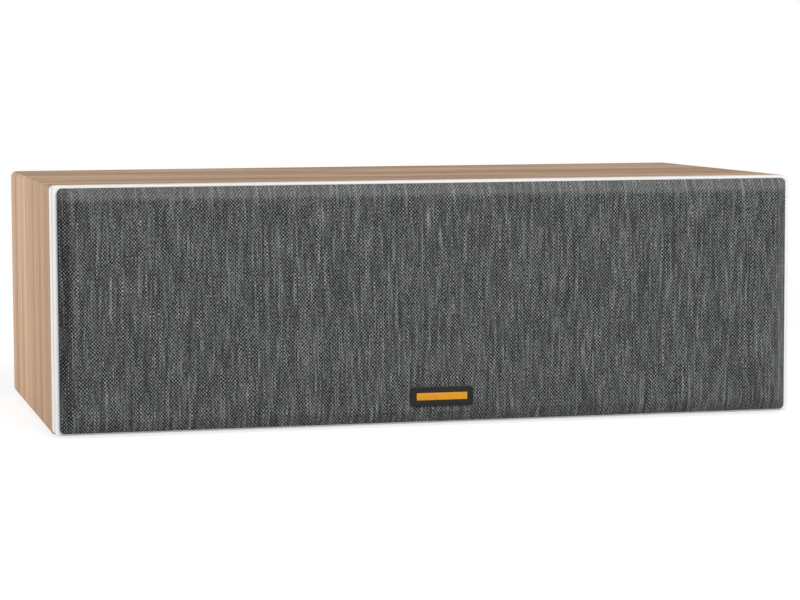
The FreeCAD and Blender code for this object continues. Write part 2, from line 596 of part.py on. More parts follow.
def woofer(side):
    centre = woofer_centre(side)
    chassis = basket(centre)
    gasket = ring(centre, BACK, WOOFER_CUTOUT, WOOFER_FLANGE_RADIUS, WOOFER_FLANGE_THICK, WOOFER_REBATE)
    for point in woofer_screw_points():
        chassis = chassis.cut(screw(point, BACK, SCREW_FIT))
        gasket = gasket.cut(screw(point, BACK, SCREW_FIT))
    cone = lathe(centre, BACK, (ROLL_INNER_RADIUS, SURROUND_THICK), (CONE_RIM_RADIUS, SURROUND_THICK),
                 (FORMER_RADIUS, NECK_DEPTH), (FORMER_RADIUS, NECK_DEPTH + CONE_THICK),
                 (CONE_RIM_RADIUS, SURROUND_THICK + CONE_THICK),
                 (ROLL_INNER_RADIUS, SURROUND_THICK + CONE_THICK))
    winding_start = WINDING_MIDDLE - WINDING_LENGTH / 2
    winding_end = WINDING_MIDDLE + WINDING_LENGTH / 2
    coil = lathe(centre, BACK, (COIL_INNER_RADIUS, NECK_DEPTH - FORMER_RISE),
                 (FORMER_RADIUS, NECK_DEPTH - FORMER_RISE), (FORMER_RADIUS, winding_start),
                 (WINDING_RADIUS, winding_start), (WINDING_RADIUS, winding_end), (FORMER_RADIUS, winding_end),
                 (FORMER_RADIUS, winding_end + FORMER_TAIL), (COIL_INNER_RADIUS, winding_end + FORMER_TAIL))
    pole = COIL_INNER_RADIUS - COIL_GAP
    yoke_back = YOKE_DEPTH + WOOFER_YOKE_THICK
    yoke = lathe(centre, BACK, (WOOFER_VENT_RADIUS, BASKET_DEPTH), (pole, BASKET_DEPTH), (pole, YOKE_DEPTH),
                 (WOOFER_YOKE_RADIUS, YOKE_DEPTH), (WOOFER_YOKE_RADIUS, yoke_back - YOKE_CHAMFER),
                 (WOOFER_YOKE_RADIUS - YOKE_CHAMFER, yoke_back), (WOOFER_VENT_RADIUS, yoke_back))
    top_plate = ring(centre, BACK, WINDING_RADIUS + COIL_GAP, WOOFER_PLATE_RADIUS, BASKET_DEPTH, MAGNET_DEPTH)
    magnet = ring(centre, BACK, WOOFER_MAGNET_BORE, WOOFER_MAGNET_RADIUS, MAGNET_DEPTH, YOKE_DEPTH)
    pieces = {"basket": chassis, "gasket": gasket, "surround": surround(centre), "cone": cone,
              "dust_cap": dust_cap(centre), "voice_coil": coil, "spider": spider(centre),
              "top_plate": top_plate, "magnet": magnet, "yoke": yoke}
    return {"woofer_%s_%s" % (side, name): shape for name, shape in pieces.items()}


def tag_strip(x_from, x_to, y_from, tag_x, tag_y):
    """Insulating strip with two flat tags that reach out of it along X or Y."""
    half = TAG_STRIP_WIDTH / 2
    strip = box(x_from, x_to, y_from, y_from + TAG_STRIP_THICK, MIDDLE_Z - half, MIDDLE_Z + half)
    for sign in (-1, 1):
        z = MIDDLE_Z + sign * (half - TAG_WIDTH)
        low, high = z - TAG_WIDTH / 2, z + TAG_WIDTH / 2
        if tag_x:
            tag = box(x_to, x_to + tag_x, y_from, y_from + TAG_THICK, low, high)
        else:
            x = (x_from + x_to) / 2
            start = y_from + TAG_STRIP_THICK
            tag = box(x - TAG_THICK / 2, x + TAG_THICK / 2, start, start + tag_y, low, high)
        strip = strip.fuse(tag)
    return strip


WOOFER_TAG_Y = BAFFLE_Y + SPIDER_SEAT_DEPTH + BASKET_WALL
TWEETER_TAG_Y = (BAFFLE_Y + TWEETER_PLATE_THICK + DOME_THICK + TWEETER_POLE_PLATE_THICK
                 + TWEETER_MAGNET_THICK + TWEETER_YOKE_THICK)


def woofer_hardware():
    strips = []
    for side in SIDES:
        centre = woofer_centre(side)
        start = centre.x + BASKET_CUP_RADIUS
        strip = tag_strip(start, start + TAG_STRIP_LENGTH, WOOFER_TAG_Y, TAG_LENGTH, 0)
        strip.rotate(centre, BACK, -90)
        strips.append(strip)
    screws = [screw(point, BACK) for point in woofer_screw_points()]
    return {"woofer_tag_strips": Part.makeCompound(strips), "woofer_screws": Part.makeCompound(screws)}


def tweeter():
    centre = tweeter_centre()
    back = TWEETER_PLATE_THICK
    plate = lathe(centre, BACK, (TWEETER_RADIUS, 0), (TWEETER_RADIUS, back), (TWEETER_THROAT_RADIUS, back),
                  (TWEETER_THROAT_RADIUS, TWEETER_DISH_DEPTH), (TWEETER_DISH_RADIUS, 0))
    gasket = ring(centre, BACK, TWEETER_CUTOUT, TWEETER_RADIUS, back, TWEETER_REBATE)
    for point in tweeter_screw_points():
        plate = plate.cut(screw(point, BACK, SCREW_FIT))
        gasket = gasket.cut(screw(point, BACK, SCREW_FIT))

    seat = back + DOME_THICK
    apex = back - DOME_HEIGHT
    outer_middle = dome_point(DOME_RADIUS / 2, DOME_RADIUS, DOME_HEIGHT, apex)
    inner_radius = DOME_RADIUS - DOME_THICK
    inner_middle = dome_point(inner_radius / 2, inner_radius, DOME_HEIGHT, apex + DOME_THICK)
    crown = (DOME_RADIUS + TWEETER_THROAT_RADIUS) / 2
    lip = TWEETER_THROAT_RADIUS + DOME_LIP
    dome = lathe(centre, BACK, (lip, back), (TWEETER_THROAT_RADIUS, back),
                 ((crown, back - DOME_EDGE_RISE), (DOME_RADIUS, back)), (outer_middle, (0, apex)),
                 (0, apex + DOME_THICK), (inner_middle, (inner_radius, seat)), (DOME_RADIUS, seat),
                 ((crown, seat - DOME_EDGE_RISE), (TWEETER_THROAT_RADIUS, seat)), (lip, seat))

    coil_outer = inner_radius + TWEETER_COIL_THICK
    pole = inner_radius - TWEETER_GAP
    gap_outer = coil_outer + TWEETER_GAP
    magnet_start = seat + TWEETER_POLE_PLATE_THICK
    yoke_start = magnet_start + TWEETER_MAGNET_THICK
    yoke_end = yoke_start + TWEETER_YOKE_THICK
    coil = ring(centre, BACK, inner_radius, coil_outer, seat, seat + TWEETER_COIL_LENGTH)
    pole_plate = ring(centre, BACK, gap_outer, TWEETER_POLE_PLATE_RADIUS, seat, magnet_start)
    relief = crown + TWEETER_GAP
    pole_plate = pole_plate.cut(ring(centre, BACK, 0, relief, seat, seat + TWEETER_GAP))
    magnet = ring(centre, BACK, TWEETER_MAGNET_BORE, TWEETER_MAGNET_RADIUS, magnet_start, yoke_start)
    yoke = lathe(centre, BACK, (0, seat), (pole, seat), (pole, yoke_start),
                 (TWEETER_POLE_PLATE_RADIUS, yoke_start),
                 (TWEETER_POLE_PLATE_RADIUS, yoke_end - YOKE_CHAMFER),
                 (TWEETER_POLE_PLATE_RADIUS - YOKE_CHAMFER, yoke_end), (0, yoke_end))
    half = TAG_STRIP_LENGTH / 2
    strip = tag_strip(-half, half, TWEETER_TAG_Y, 0, TAG_LENGTH)
    screws = [screw(point, BACK) for point in tweeter_screw_points()]
    return {"tweeter_faceplate": plate, "tweeter_gasket": gasket, "tweeter_dome": dome,
            "tweeter_voice_coil": coil, "tweeter_top_plate": pole_plate, "tweeter_magnet": magnet,
            "tweeter_yoke": yoke, "tweeter_tag_strip": strip,
            "tweeter_screws": Part.makeCompound(screws)}


BOARD_TOP = FLOOR_Z + SPACER_HEIGHT + BOARD_THICK


def wound_coil(x, y, radius, height):
    """Flanged bobbin filled with wire, standing on the crossover board."""
    bore = radius * COIL_BORE_SHARE
    waist = radius - BOBBIN_STEP
    upper = height - BOBBIN_FLANGE
    return lathe(V(x, y, BOARD_TOP), UP, (bore, 0), (radius, 0), (radius, BOBBIN_FLANGE),
                 (waist, BOBBIN_FLANGE), (waist, upper), (radius, upper), (radius, height), (bore, height))


def crossover():
    half_width = BOARD_WIDTH / 2
    half_depth = BOARD_DEPTH / 2
    board_z = FLOOR_Z + SPACER_HEIGHT
    board = box(-half_width, half_width, BOARD_SHIFT - half_depth, BOARD_SHIFT + half_depth,
                board_z, BOARD_TOP)
    spacers = []
    for i in (-1, 1):
        for j in (-1, 1):
            foot = V(i * (half_width - SPACER_INSET), BOARD_SHIFT + j * (half_depth - SPACER_INSET), FLOOR_Z)
            spacers.append(Part.makeCylinder(SPACER_RADIUS, SPACER_HEIGHT, foot, UP))
    bass_x = -half_width / 2
    treble_x = half_width / 2
    bass = wound_coil(bass_x, BOARD_SHIFT, BASS_COIL_RADIUS, BASS_COIL_HEIGHT)
    treble = wound_coil(treble_x, BOARD_SHIFT - CAPACITOR_PITCH, TREBLE_COIL_RADIUS, TREBLE_COIL_HEIGHT)
    capacitors = []
    for row in range(2):
        y = BOARD_SHIFT + (row + 0.5) * CAPACITOR_PITCH
        start = V(treble_x - CAPACITOR_LENGTH / 2, y, BOARD_TOP + CAPACITOR_RADIUS)
        can = Part.makeCylinder(CAPACITOR_RADIUS, CAPACITOR_LENGTH, start, V(1, 0, 0))
        rims = [e for e in can.Edges if e.Closed and e.BoundBox.XLength < CAPACITOR_EDGE]
        capacitors.append(can.makeFillet(CAPACITOR_EDGE, rims))
    resistor_y = BOARD_SHIFT + half_depth - CAPACITOR_PITCH
    resistor = box(bass_x - RESISTOR_LENGTH / 2, bass_x + RESISTOR_LENGTH / 2, resistor_y,
                   resistor_y + RESISTOR_SIDE, BOARD_TOP, BOARD_TOP + RESISTOR_SIDE)
    return {"crossover_board": board, "board_spacers": Part.makeCompound(spacers),
            "crossover_bass_coil": bass, "crossover_treble_coil": treble,
            "crossover_capacitors": Part.makeCompound(capacitors), "crossover_resistor": resistor}


CUP_FACE_Y = REAR_Y + REAR_PROUD
CUP_FLOOR_Y = CUP_FACE_Y - CUP_RECESS_DEPTH
COLLAR_Y = CUP_FLOOR_Y + POST_COLLAR_THICK


def post_x(colour):
    """Red stands on the right as seen from behind."""
    return {"red": -1, "black": 1}[colour] * POST_SPACING / 2


def binding_post(x):
    """Plated post with a collar, a plug bore in its end and a cross hole for bare wire."""
    floor = V(x, CUP_FLOOR_Y, MIDDLE_Z)
    tail = -CUP_WALL - POST_TAIL
    end = POST_COLLAR_THICK + POST_REACH
    bore_end = end - PLUG_BORE_DEPTH
    post = lathe(floor, BACK, (0, tail), (POST_RADIUS, tail), (POST_RADIUS, 0), (POST_COLLAR_RADIUS, 0),
                 (POST_COLLAR_RADIUS, POST_COLLAR_THICK), (POST_RADIUS, POST_COLLAR_THICK),
                 (POST_RADIUS, end), (PLUG_BORE_RADIUS, end), (PLUG_BORE_RADIUS, bore_end), (0, bore_end))
    hole_start = V(x, COLLAR_Y + WIRE_HOLE_RISE, MIDDLE_Z - POST_COLLAR_RADIUS)
    return post.cut(Part.makeCylinder(WIRE_HOLE_RADIUS, 2 * POST_COLLAR_RADIUS, hole_start, UP))


def terminal_cap(x):
    """Fluted screw cap that clamps the wire and lets a plug in through its end."""
    seat = V(x, COLLAR_Y + CAP_SEAT_GAP, MIDDLE_Z)
    bore = POST_RADIUS + CAP_THREAD_CLEARANCE
    shoulder = CAP_LENGTH - CAP_END_THICK
    cap = lathe(seat, BACK, (bore, 0), (CAP_RADIUS - CAP_CHAMFER, 0), (CAP_RADIUS, CAP_CHAMFER),
                (CAP_RADIUS, CAP_LENGTH - CAP_CHAMFER), (CAP_RADIUS - CAP_CHAMFER, CAP_LENGTH),
                (CAP_MOUTH_RADIUS, CAP_LENGTH), (CAP_MOUTH_RADIUS, shoulder), (bore, shoulder))
    reach = CAP_RADIUS + CAP_FLUTE_RADIUS - CAP_FLUTE_DEPTH
    for point in circle_points(seat.x, seat.y, seat.z, reach, CAP_FLUTES):
        cap = cap.cut(Part.makeCylinder(CAP_FLUTE_RADIUS, CAP_LENGTH, point, BACK))
    return cap


def terminals():
    mouth_width = CUP_WIDTH - 2 * CUP_MOUTH_MARGIN
    mouth_height = CUP_HEIGHT - 2 * CUP_MOUTH_MARGIN
    floor_width = mouth_width - 2 * CUP_DRAFT
    floor_height = mouth_height - 2 * CUP_DRAFT
    skin = 2 * CUP_WALL
    flange_y = REAR_Y + CUP_GASKET_THICK
    radius = CUP_CORNER_RADIUS
    cup = slab(CUP_WIDTH, CUP_HEIGHT, radius, flange_y, CUP_FACE_Y)
    cup = cup.fuse(tapered((mouth_width + skin, mouth_height + skin, radius, flange_y),
                           (floor_width + skin, floor_height + skin, radius, CUP_FLOOR_Y - CUP_WALL)))
    cup = cup.cut(tapered((mouth_width, mouth_height, radius - CUP_WALL, CUP_FACE_Y),
                          (floor_width, floor_height, radius - CUP_WALL, CUP_FLOOR_Y)))
    cutout = 2 * (CUP_WALL + CUP_CUTOUT_CLEARANCE)
    gasket = slab(CUP_WIDTH, CUP_HEIGHT, radius, REAR_Y, flange_y)
    gasket = gasket.cut(slab(mouth_width + cutout, mouth_height + cutout, radius, REAR_Y, flange_y))
    for point in cup_screw_points():
        cup = cup.cut(screw(point, FRONT, SCREW_FIT))
        gasket = gasket.cut(screw(point, FRONT, SCREW_FIT))
    nodes = {"terminal_gasket": gasket}
    nuts = []
    for colour in ("red", "black"):
        x = post_x(colour)
        through = V(x, CUP_FLOOR_Y - CUP_WALL, MIDDLE_Z)
        cup = cup.cut(Part.makeCylinder(POST_RADIUS + SCREW_FIT, CUP_WALL, through, BACK))
        nodes["post_" + colour] = binding_post(x)
        nodes["cap_" + colour] = terminal_cap(x)
        corners = circle_points(x, through.y - NUT_THICK, MIDDLE_Z, NUT_RADIUS, 6)
        nut = Part.Face(Part.makePolygon(corners + corners[:1])).extrude(V(0, NUT_THICK, 0))
        thread = V(x, through.y - NUT_THICK, MIDDLE_Z)
        nuts.append(nut.cut(Part.makeCylinder(POST_RADIUS + SCREW_FIT, NUT_THICK, thread, BACK)))
    nodes["terminal_cup"] = cup
    nodes["post_nuts"] = Part.makeCompound(nuts)
    nodes["terminal_screws"] = Part.makeCompound([screw(point, FRONT) for point in cup_screw_points()])
    return nodes


def port(side):
    """Moulded reflex tube with a flared mouth, behind a woofer, and a flange on the rear panel."""
    mouth = V(SIDES[side] * WOOFER_OFFSET, REAR_Y, MIDDLE_Z)
    outer = PORT_RADIUS + PORT_WALL
    flare_start = PORT_FLANGE_THICK - PORT_FLARE
    lean = PORT_FLARE * (1 - math.sqrt(0.5))
    rim = PORT_FLANGE_RADIUS - PORT_FLANGE_CHAMFER
    return lathe(mouth, BACK, (PORT_RADIUS, -PORT_LENGTH), (PORT_RADIUS, flare_start),
                 ((PORT_RADIUS + lean, PORT_FLANGE_THICK - lean),
                  (PORT_RADIUS + PORT_FLARE, PORT_FLANGE_THICK)),
                 (rim, PORT_FLANGE_THICK), (PORT_FLANGE_RADIUS, PORT_FLANGE_THICK - PORT_FLANGE_CHAMFER),
                 (PORT_FLANGE_RADIUS, 0), (PORT_COLLAR_RADIUS, 0), (PORT_COLLAR_RADIUS, -PORT_COLLAR_LENGTH),
                 (outer, -PORT_COLLAR_LENGTH), (outer, -PORT_LENGTH))


def wadding():
    """Two pads of fibre fixed to the end walls."""
    depth = REAR_INNER_Y - WRAP_Y - 2 * WADDING_INSET
    height = INNER_HEIGHT - 2 * WADDING_INSET
    pads = []
    for sign in SIDES.values():
        pad = slab(depth, height, WADDING_RADIUS, 0, WADDING_THICK)
        pad.rotate(V(0, 0, MIDDLE_Z), UP, -sign * 90)
        pad.translate(V(sign * (INNER_WIDTH / 2 - WADDING_THICK), (WRAP_Y + REAR_INNER_Y) / 2, 0))
        pads.append(pad)
    return {"wadding": Part.makeCompound(pads)}


def lead(points):
    """Round lead along straight runs joined by bends of one radius."""
    edges = []
    here = points[0]
    for before, corner, after in zip(points, points[1:], points[2:]):
        into = (corner - before).normalize()
        out = (after - corner).normalize()
        turn = into.getAngle(out)
        setback = LEAD_BEND * math.tan(turn / 2)
        start = corner - into * setback
        end = corner + out * setback
        inward = (out - into).normalize()
        middle = corner + inward * (LEAD_BEND / math.cos(turn / 2) - LEAD_BEND)
        edges.append(Part.LineSegment(here, start).toShape())
        edges.append(Part.Arc(start, middle, end).toShape())
        here = end
    edges.append(Part.LineSegment(here, points[-1]).toShape())
    section = Part.Wire([Part.Circle(points[0], points[1] - points[0], LEAD_RADIUS).toShape()])
    return Part.Wire(edges).makePipeShell([section], True, False)


def internal_leads():
    front_y = BOARD_SHIFT - BOARD_DEPTH / 2 + LEAD_INSET
    rear_y = BOARD_SHIFT + BOARD_DEPTH / 2 - LEAD_INSET
    corner_z = BOARD_TOP + LEAD_DROP_HEIGHT
    tag_z = MIDDLE_Z
    leads = []
    for sign in SIDES.values():
        tag_x = sign * WOOFER_OFFSET
        tag_top = MIDDLE_Z + BASKET_CUP_RADIUS + TAG_STRIP_LENGTH + TAG_LENGTH / 2
        inner_x = sign * (BRACE_OFFSET - BRACE_THICK / 2 - LEAD_STEP)
        leads.append(lead([V(tag_x, WOOFER_TAG_Y + TAG_THICK, tag_top), V(tag_x, front_y, tag_top),
                           V(inner_x, front_y, corner_z), V(inner_x, front_y, BOARD_TOP)]))
    tweeter_y = TWEETER_TAG_Y + TAG_STRIP_THICK + TAG_LENGTH
    leads.append(lead([V(0, tweeter_y, tag_z), V(0, front_y, tag_z), V(0, front_y, BOARD_TOP)]))
    for colour in ("red", "black"):
        x = post_x(colour)
        tail_y = CUP_FLOOR_Y - CUP_WALL - POST_TAIL
        leads.append(lead([V(x, tail_y, tag_z), V(x, rear_y, tag_z), V(x, rear_y, BOARD_TOP)]))
    return {"internal_leads": Part.makeCompound(leads)}


nodes = {}
nodes.update(cabinet())
nodes.update(grille())
for each_side in SIDES:
    nodes.update(woofer(each_side))
    nodes["port_" + each_side] = port(each_side)
nodes.update(woofer_hardware())
nodes.update(tweeter())
nodes.update(crossover())
nodes.update(terminals())
nodes.update(wadding())
nodes.update(internal_leads())

os.makedirs("parts", exist_ok=True)
for name, shape in nodes.items():
    shape.exportStep("parts/%s.step" % name)
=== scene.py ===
import math

import bmesh
import bpy
from mathutils import Matrix, Vector


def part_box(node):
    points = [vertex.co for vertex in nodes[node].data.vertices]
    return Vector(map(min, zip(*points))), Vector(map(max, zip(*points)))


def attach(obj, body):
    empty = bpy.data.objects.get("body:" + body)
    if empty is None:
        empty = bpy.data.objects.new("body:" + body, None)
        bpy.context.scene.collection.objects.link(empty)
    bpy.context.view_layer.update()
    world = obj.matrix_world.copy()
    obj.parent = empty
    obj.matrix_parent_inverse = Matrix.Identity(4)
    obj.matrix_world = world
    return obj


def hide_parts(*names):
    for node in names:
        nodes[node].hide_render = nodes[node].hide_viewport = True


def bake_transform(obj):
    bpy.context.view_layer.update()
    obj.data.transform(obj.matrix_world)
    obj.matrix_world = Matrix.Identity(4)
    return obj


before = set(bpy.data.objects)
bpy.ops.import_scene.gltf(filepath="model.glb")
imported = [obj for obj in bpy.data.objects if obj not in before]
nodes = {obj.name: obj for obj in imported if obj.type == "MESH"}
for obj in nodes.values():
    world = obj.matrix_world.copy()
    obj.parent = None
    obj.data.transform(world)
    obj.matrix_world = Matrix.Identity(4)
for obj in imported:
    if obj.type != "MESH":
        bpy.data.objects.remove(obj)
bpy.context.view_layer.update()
mm = 0.001


# Studio: a pale seamless floor under a broad soft lamp in front and a smaller one off the left end.
# Seen by the camera or in a reflection the floor and the sky are white, and the floor keeps a faint shadow.
class Flow:
    """A value on its way between the nodes of a finish: arithmetic on it adds Math nodes."""

    def __init__(self, finish, socket):
        self.finish = finish
        self.socket = socket

    def work(self, operation, first, second=0.0):
        return self.finish.add("ShaderNodeMath", {"operation": operation}, {0: first, 1: second})

    def __add__(self, other):
        return self.work("ADD", self, other)

    def __sub__(self, other):
        return self.work("SUBTRACT", self, other)

    def __rsub__(self, other):
        return self.work("SUBTRACT", other, self)

    def __mul__(self, other):
        return self.work("MULTIPLY", self, other)

    def __abs__(self):
        return self.work("ABSOLUTE", self)

    def __gt__(self, other):
        return self.work("GREATER_THAN", self, other)

    def __lt__(self, other):
        return self.work("LESS_THAN", self, other)

    __radd__ = __add__
    __rmul__ = __mul__

    def sine(self):
        return self.work("SINE", self)

    def whole(self):
        return self.work("FLOOR", self)

    def root(self):
        return self.work("SQRT", self)

    def ramp(self, low, high):
        """0 below low and 1 above high, eased between them; low above high turns it round."""
        return self.finish.add("ShaderNodeMapRange", {"interpolation_type": "SMOOTHSTEP"},
                               {0: self, 1: low, 2: high, 3: 0.0, 4: 1.0})

    def output(self, name):
        """Another output of the node this value comes from."""
        return Flow(self.finish, self.socket.node.outputs[name])


class Finish:
    """The nodes of one surface, up to the output node of a material or a sky."""

    def __init__(self, owner, end="ShaderNodeOutputMaterial"):
        owner.use_nodes = True
        self.owner = owner
        self.tree = owner.node_tree
        self.tree.nodes.clear()
        self.end = self.tree.nodes.new(end)

    def add(self, kind, settings=None, sockets=None, output=0):
        """A node: its settings are set first, then the values or links of its sockets."""
        node = self.tree.nodes.new(kind)
        for name, value in (settings or {}).items():
            setattr(node, name, value)
        for name, value in (sockets or {}).items():
            if isinstance(value, Flow):
                self.tree.links.new(value.socket, node.inputs[name])
            else:
                node.inputs[name].default_value = value
        return Flow(self, node.outputs[output])

    def close(self, shader):
        self.tree.links.new(shader.socket, self.end.inputs["Surface"])
        return self.owner

    def seen(self):
        """1 for what the camera sees, directly or in a mirror or glass."""
        path = self.add("ShaderNodeLightPath", output="Is Camera Ray")
        return path + path.output("Is Glossy Ray") + path.output("Is Transmission Ray")

    def either(self, factor, first, second):
        return self.add("ShaderNodeMixShader", {}, {0: factor, 1: first, 2: second})

    def place(self):
        """The three Object coordinates, in metres."""
        spot = self.add("ShaderNodeTexCoord", output="Object")
        parts = self.add("ShaderNodeSeparateXYZ", {}, {0: spot})
        return parts, parts.output("Y"), parts.output("Z")


FLOOR_SPAN = 40.0
SHADOW_REACH = (0.55, 1.1)
FLOOR_GLOW = 0.82
FLOOR_TONE = 0.30
FLOOR_LIT = 0.9
SKY_FILL = 0.18

sky = Finish(bpy.data.worlds.new("studio_sky"), "ShaderNodeOutputWorld")
white_sky = sky.add("ShaderNodeBackground", {}, {"Color": (1, 1, 1, 1), "Strength": 1.0})
fill_sky = sky.add("ShaderNodeBackground", {}, {"Color": (1, 1, 1, 1), "Strength": SKY_FILL})
bpy.context.scene.world = sky.close(sky.either(sky.seen(), fill_sky, white_sky))

bpy.ops.object.select_all(action="DESELECT")
bpy.ops.mesh.primitive_plane_add(size=FLOOR_SPAN, location=(0, 0, 0))
floor = bpy.context.object
floor.name = "studio_floor"
paper = Finish(bpy.data.materials.new("floor_paper"))
x, y, z = paper.place()
away = (x * x + y * y).root().ramp(*SHADOW_REACH)
glow = paper.add("ShaderNodeEmission", {}, {"Strength": FLOOR_GLOW})
shaded = paper.add("ShaderNodeBsdfDiffuse", {}, {"Color": (FLOOR_TONE, FLOOR_TONE, FLOOR_TONE, 1)})
near = paper.add("ShaderNodeAddShader", {}, {0: glow, 1: shaded})
far = paper.add("ShaderNodeEmission", {}, {"Strength": 1.0})
lit = paper.add("ShaderNodeBsdfDiffuse", {}, {"Color": (FLOOR_LIT, FLOOR_LIT, FLOOR_LIT, 1)})
clear = paper.add("ShaderNodeBsdfTransparent")
under = paper.add("ShaderNodeNewGeometry", output="Backfacing")
shown = paper.either(paper.seen(), lit, paper.either(away, near, far))
floor.data.materials.append(paper.close(paper.either(under, shown, clear)))

AIM = Vector((0, 0, 78 * mm))
LAMPS = (("front_lamp", (0.42, -2.07, 1.65), (1.6, 1.2), 58.0),
         ("end_lamp", (-1.25, 0.95, 0.40), (1.0, 0.8), 14.0))
for name, spot, (wide, high), watts in LAMPS:
    bpy.ops.object.light_add(type="AREA", location=spot)
    lamp = bpy.context.object
    lamp.name = name
    lamp.data.shape = "RECTANGLE"
    lamp.data.size = wide
    lamp.data.size_y = high
    lamp.data.energy = watts
    lamp.rotation_euler = (AIM - Vector(spot)).to_track_quat("-Z", "Y").to_euler()
    lamp.visible_camera = False

STAND = (-0.43465, -1.79857, 0.23248)
YAW, PITCH, ROLL = math.radians(13.814), math.radians(5.001), math.radians(0.219)
SENSOR_WIDTH, LENS = 36.0, 123.988
ahead = Vector((math.sin(YAW) * math.cos(PITCH), math.cos(YAW) * math.cos(PITCH), -math.sin(PITCH)))
level = Vector((math.cos(YAW), -math.sin(YAW), 0))
drop = ahead.cross(level)
across = level * math.cos(ROLL) + drop * math.sin(ROLL)
below = drop * math.cos(ROLL) - level * math.sin(ROLL)
bpy.ops.object.camera_add()
camera = bpy.context.object
camera.data.sensor_width = SENSOR_WIDTH
camera.data.lens = LENS
turned = Matrix((across, -below, -ahead)).transposed().to_4x4()
camera.matrix_world = Matrix.Translation(STAND) @ turned
bpy.context.scene.camera = camera
bpy.context.scene.view_settings.view_transform = "Standard"


# Cabinet sleeve: one fibreboard sheet with oak foil on it, grooved and folded round the girth.
# The grain follows the girth: left to right on top, upright on the ends. The fold is tight in front and
# rounder behind, where the edge of the sheet is raw board.
def start(name, add, **sizes):
    """A primitive of a new piece, alone in edit mode and selected all over."""
    bpy.ops.object.select_all(action="DESELECT")
    add(**sizes)
    piece = bpy.context.object
    piece.name = name
    bpy.ops.object.transform_apply(location=True, rotation=True, scale=True)
    bpy.ops.object.mode_set(mode="EDIT")
    bpy.ops.mesh.select_all(action="SELECT")
    return piece


def pick(piece, kind, test):
    """Selects the vertices, edges or faces of a piece in edit mode that pass a test."""
    bpy.ops.mesh.select_mode(type=kind)
    bpy.ops.mesh.select_all(action="DESELECT")
    shape = bmesh.from_edit_mesh(piece.data)
    for part in {"VERT": shape.verts, "EDGE": shape.edges, "FACE": shape.faces}[kind]:
        part.select_set(test(part))
    shape.select_flush_mode()
    bmesh.update_edit_mesh(piece.data)


def settle(piece, angle=35):
    """Leaves edit mode, applies the modifiers and smooths the shading up to an angle."""
    bpy.ops.object.mode_set(mode="OBJECT")
    for change in list(piece.modifiers):
        bpy.ops.object.modifier_apply(modifier=change.name)
    bpy.ops.object.shade_smooth_by_angle(angle=math.radians(angle))
    return piece


def paint(red, green, blue):
    """The light that a colour reflects, from its levels on a screen, 0 to 255."""
    shares = [level / 255 for level in (red, green, blue)]
    return tuple(s / 12.92 if s <= 0.04045 else ((s + 0.055) / 1.055) ** 2.4 for s in shares) + (1.0,)


def grain(finish, x, y, z, detail=2.0, roughness=0.5):
    """Noise from 0 to 1 over coordinates that are already stretched to the grain."""
    spot = finish.add("ShaderNodeCombineXYZ", {}, {0: x, 1: y, 2: z})
    noise = {"Vector": spot, "Scale": 1.0, "Detail": detail, "Roughness": roughness}
    return finish.add("ShaderNodeTexNoise", {}, noise)


def mix(finish, share, first, second):
    return finish.add("ShaderNodeMix", {"data_type": "RGBA"}, {0: share, 6: first, 7: second}, output=2)


def surface(finish, colour, roughness, relief, depth, fixed=None):
    """A shader of a colour, a roughness and a relief in metres; fixed sockets are the same all over."""
    bump = finish.add("ShaderNodeBump", {}, {"Strength": 1.0, "Distance": depth, "Height": relief})
    sockets = {"Base Color": colour, "Roughness": roughness, "Normal": bump, **(fixed or {})}
    return finish.close(finish.add("ShaderNodeBsdfPrincipled", {}, sockets))


FOLD_FRONT, FOLD_REAR = 1.0 * mm, 4.0 * mm
ROUNDER = FOLD_REAR / FOLD_FRONT
wrap_low, wrap_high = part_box("cabinet_wrap")
wrap_size = wrap_high - wrap_low
WALL = wrap_high.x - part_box("rear_panel")[1].x
NEAR = 0.01 * mm

sleeve = start("folded_sleeve", bpy.ops.mesh.primitive_cube_add, size=1,
               location=(wrap_low + wrap_high) / 2, scale=wrap_size)
pick(sleeve, "FACE", lambda face: abs(face.normal.y) > 0.9)
bpy.ops.mesh.inset(thickness=WALL, use_individual=True)
bpy.ops.mesh.bridge_edge_loops()


def at_fold(edge):
    """True for an edge along one of the four folds."""
    first, second = (vert.co for vert in edge.verts)
    return min(abs(first.x), abs(second.x)) > wrap_high.x - NEAR and abs((first - second).y) > WALL


pick(sleeve, "EDGE", at_fold)
bpy.ops.mesh.bevel(offset=FOLD_FRONT, segments=6, affect="EDGES")
for corner_x in (wrap_low.x, wrap_high.x):
    for corner_z in (wrap_low.z, wrap_high.z):
        corner = Vector((corner_x, wrap_high.y, corner_z))
        pick(sleeve, "VERT", lambda vert: (vert.co - corner).length < 1.1 * FOLD_FRONT)
        bpy.ops.transform.resize(value=(ROUNDER, 1, ROUNDER), center_override=corner)
bpy.ops.mesh.select_all(action="SELECT")
bpy.ops.mesh.normals_make_consistent(inside=False)
settle(sleeve, 30)
flatten = sleeve.modifiers.new("flat_faces", "WEIGHTED_NORMAL")
flatten.keep_sharp = True
bpy.ops.object.modifier_apply(modifier=flatten.name)

OAK_PALE = (0.72, 0.480, 0.315, 1)
OAK_DEEP = (0.43, 0.262, 0.155, 1)
OAK_STREAK = (0.32, 0.180, 0.100, 1)
OAK_PORE = (0.30, 0.170, 0.095, 1)
OAK_PAINTED_SHADE = (0.25, 0.178, 0.118, 1)
BOARD_RAW = paint(170, 138, 105)
BOARD_DARK = paint(138, 106, 76)
SEAM_SHARE = 0.6
CREASE_PAINTED_SHADE_FROM, CREASE_PAINTED_SHADE_FULL = 2.2 * mm, 0.8 * mm
RAW_FROM, RAW_FULL = 0.25 * mm, 0.1 * mm
GRAIN_WAVER = 0.012
TOP_SHIFT = 0.97

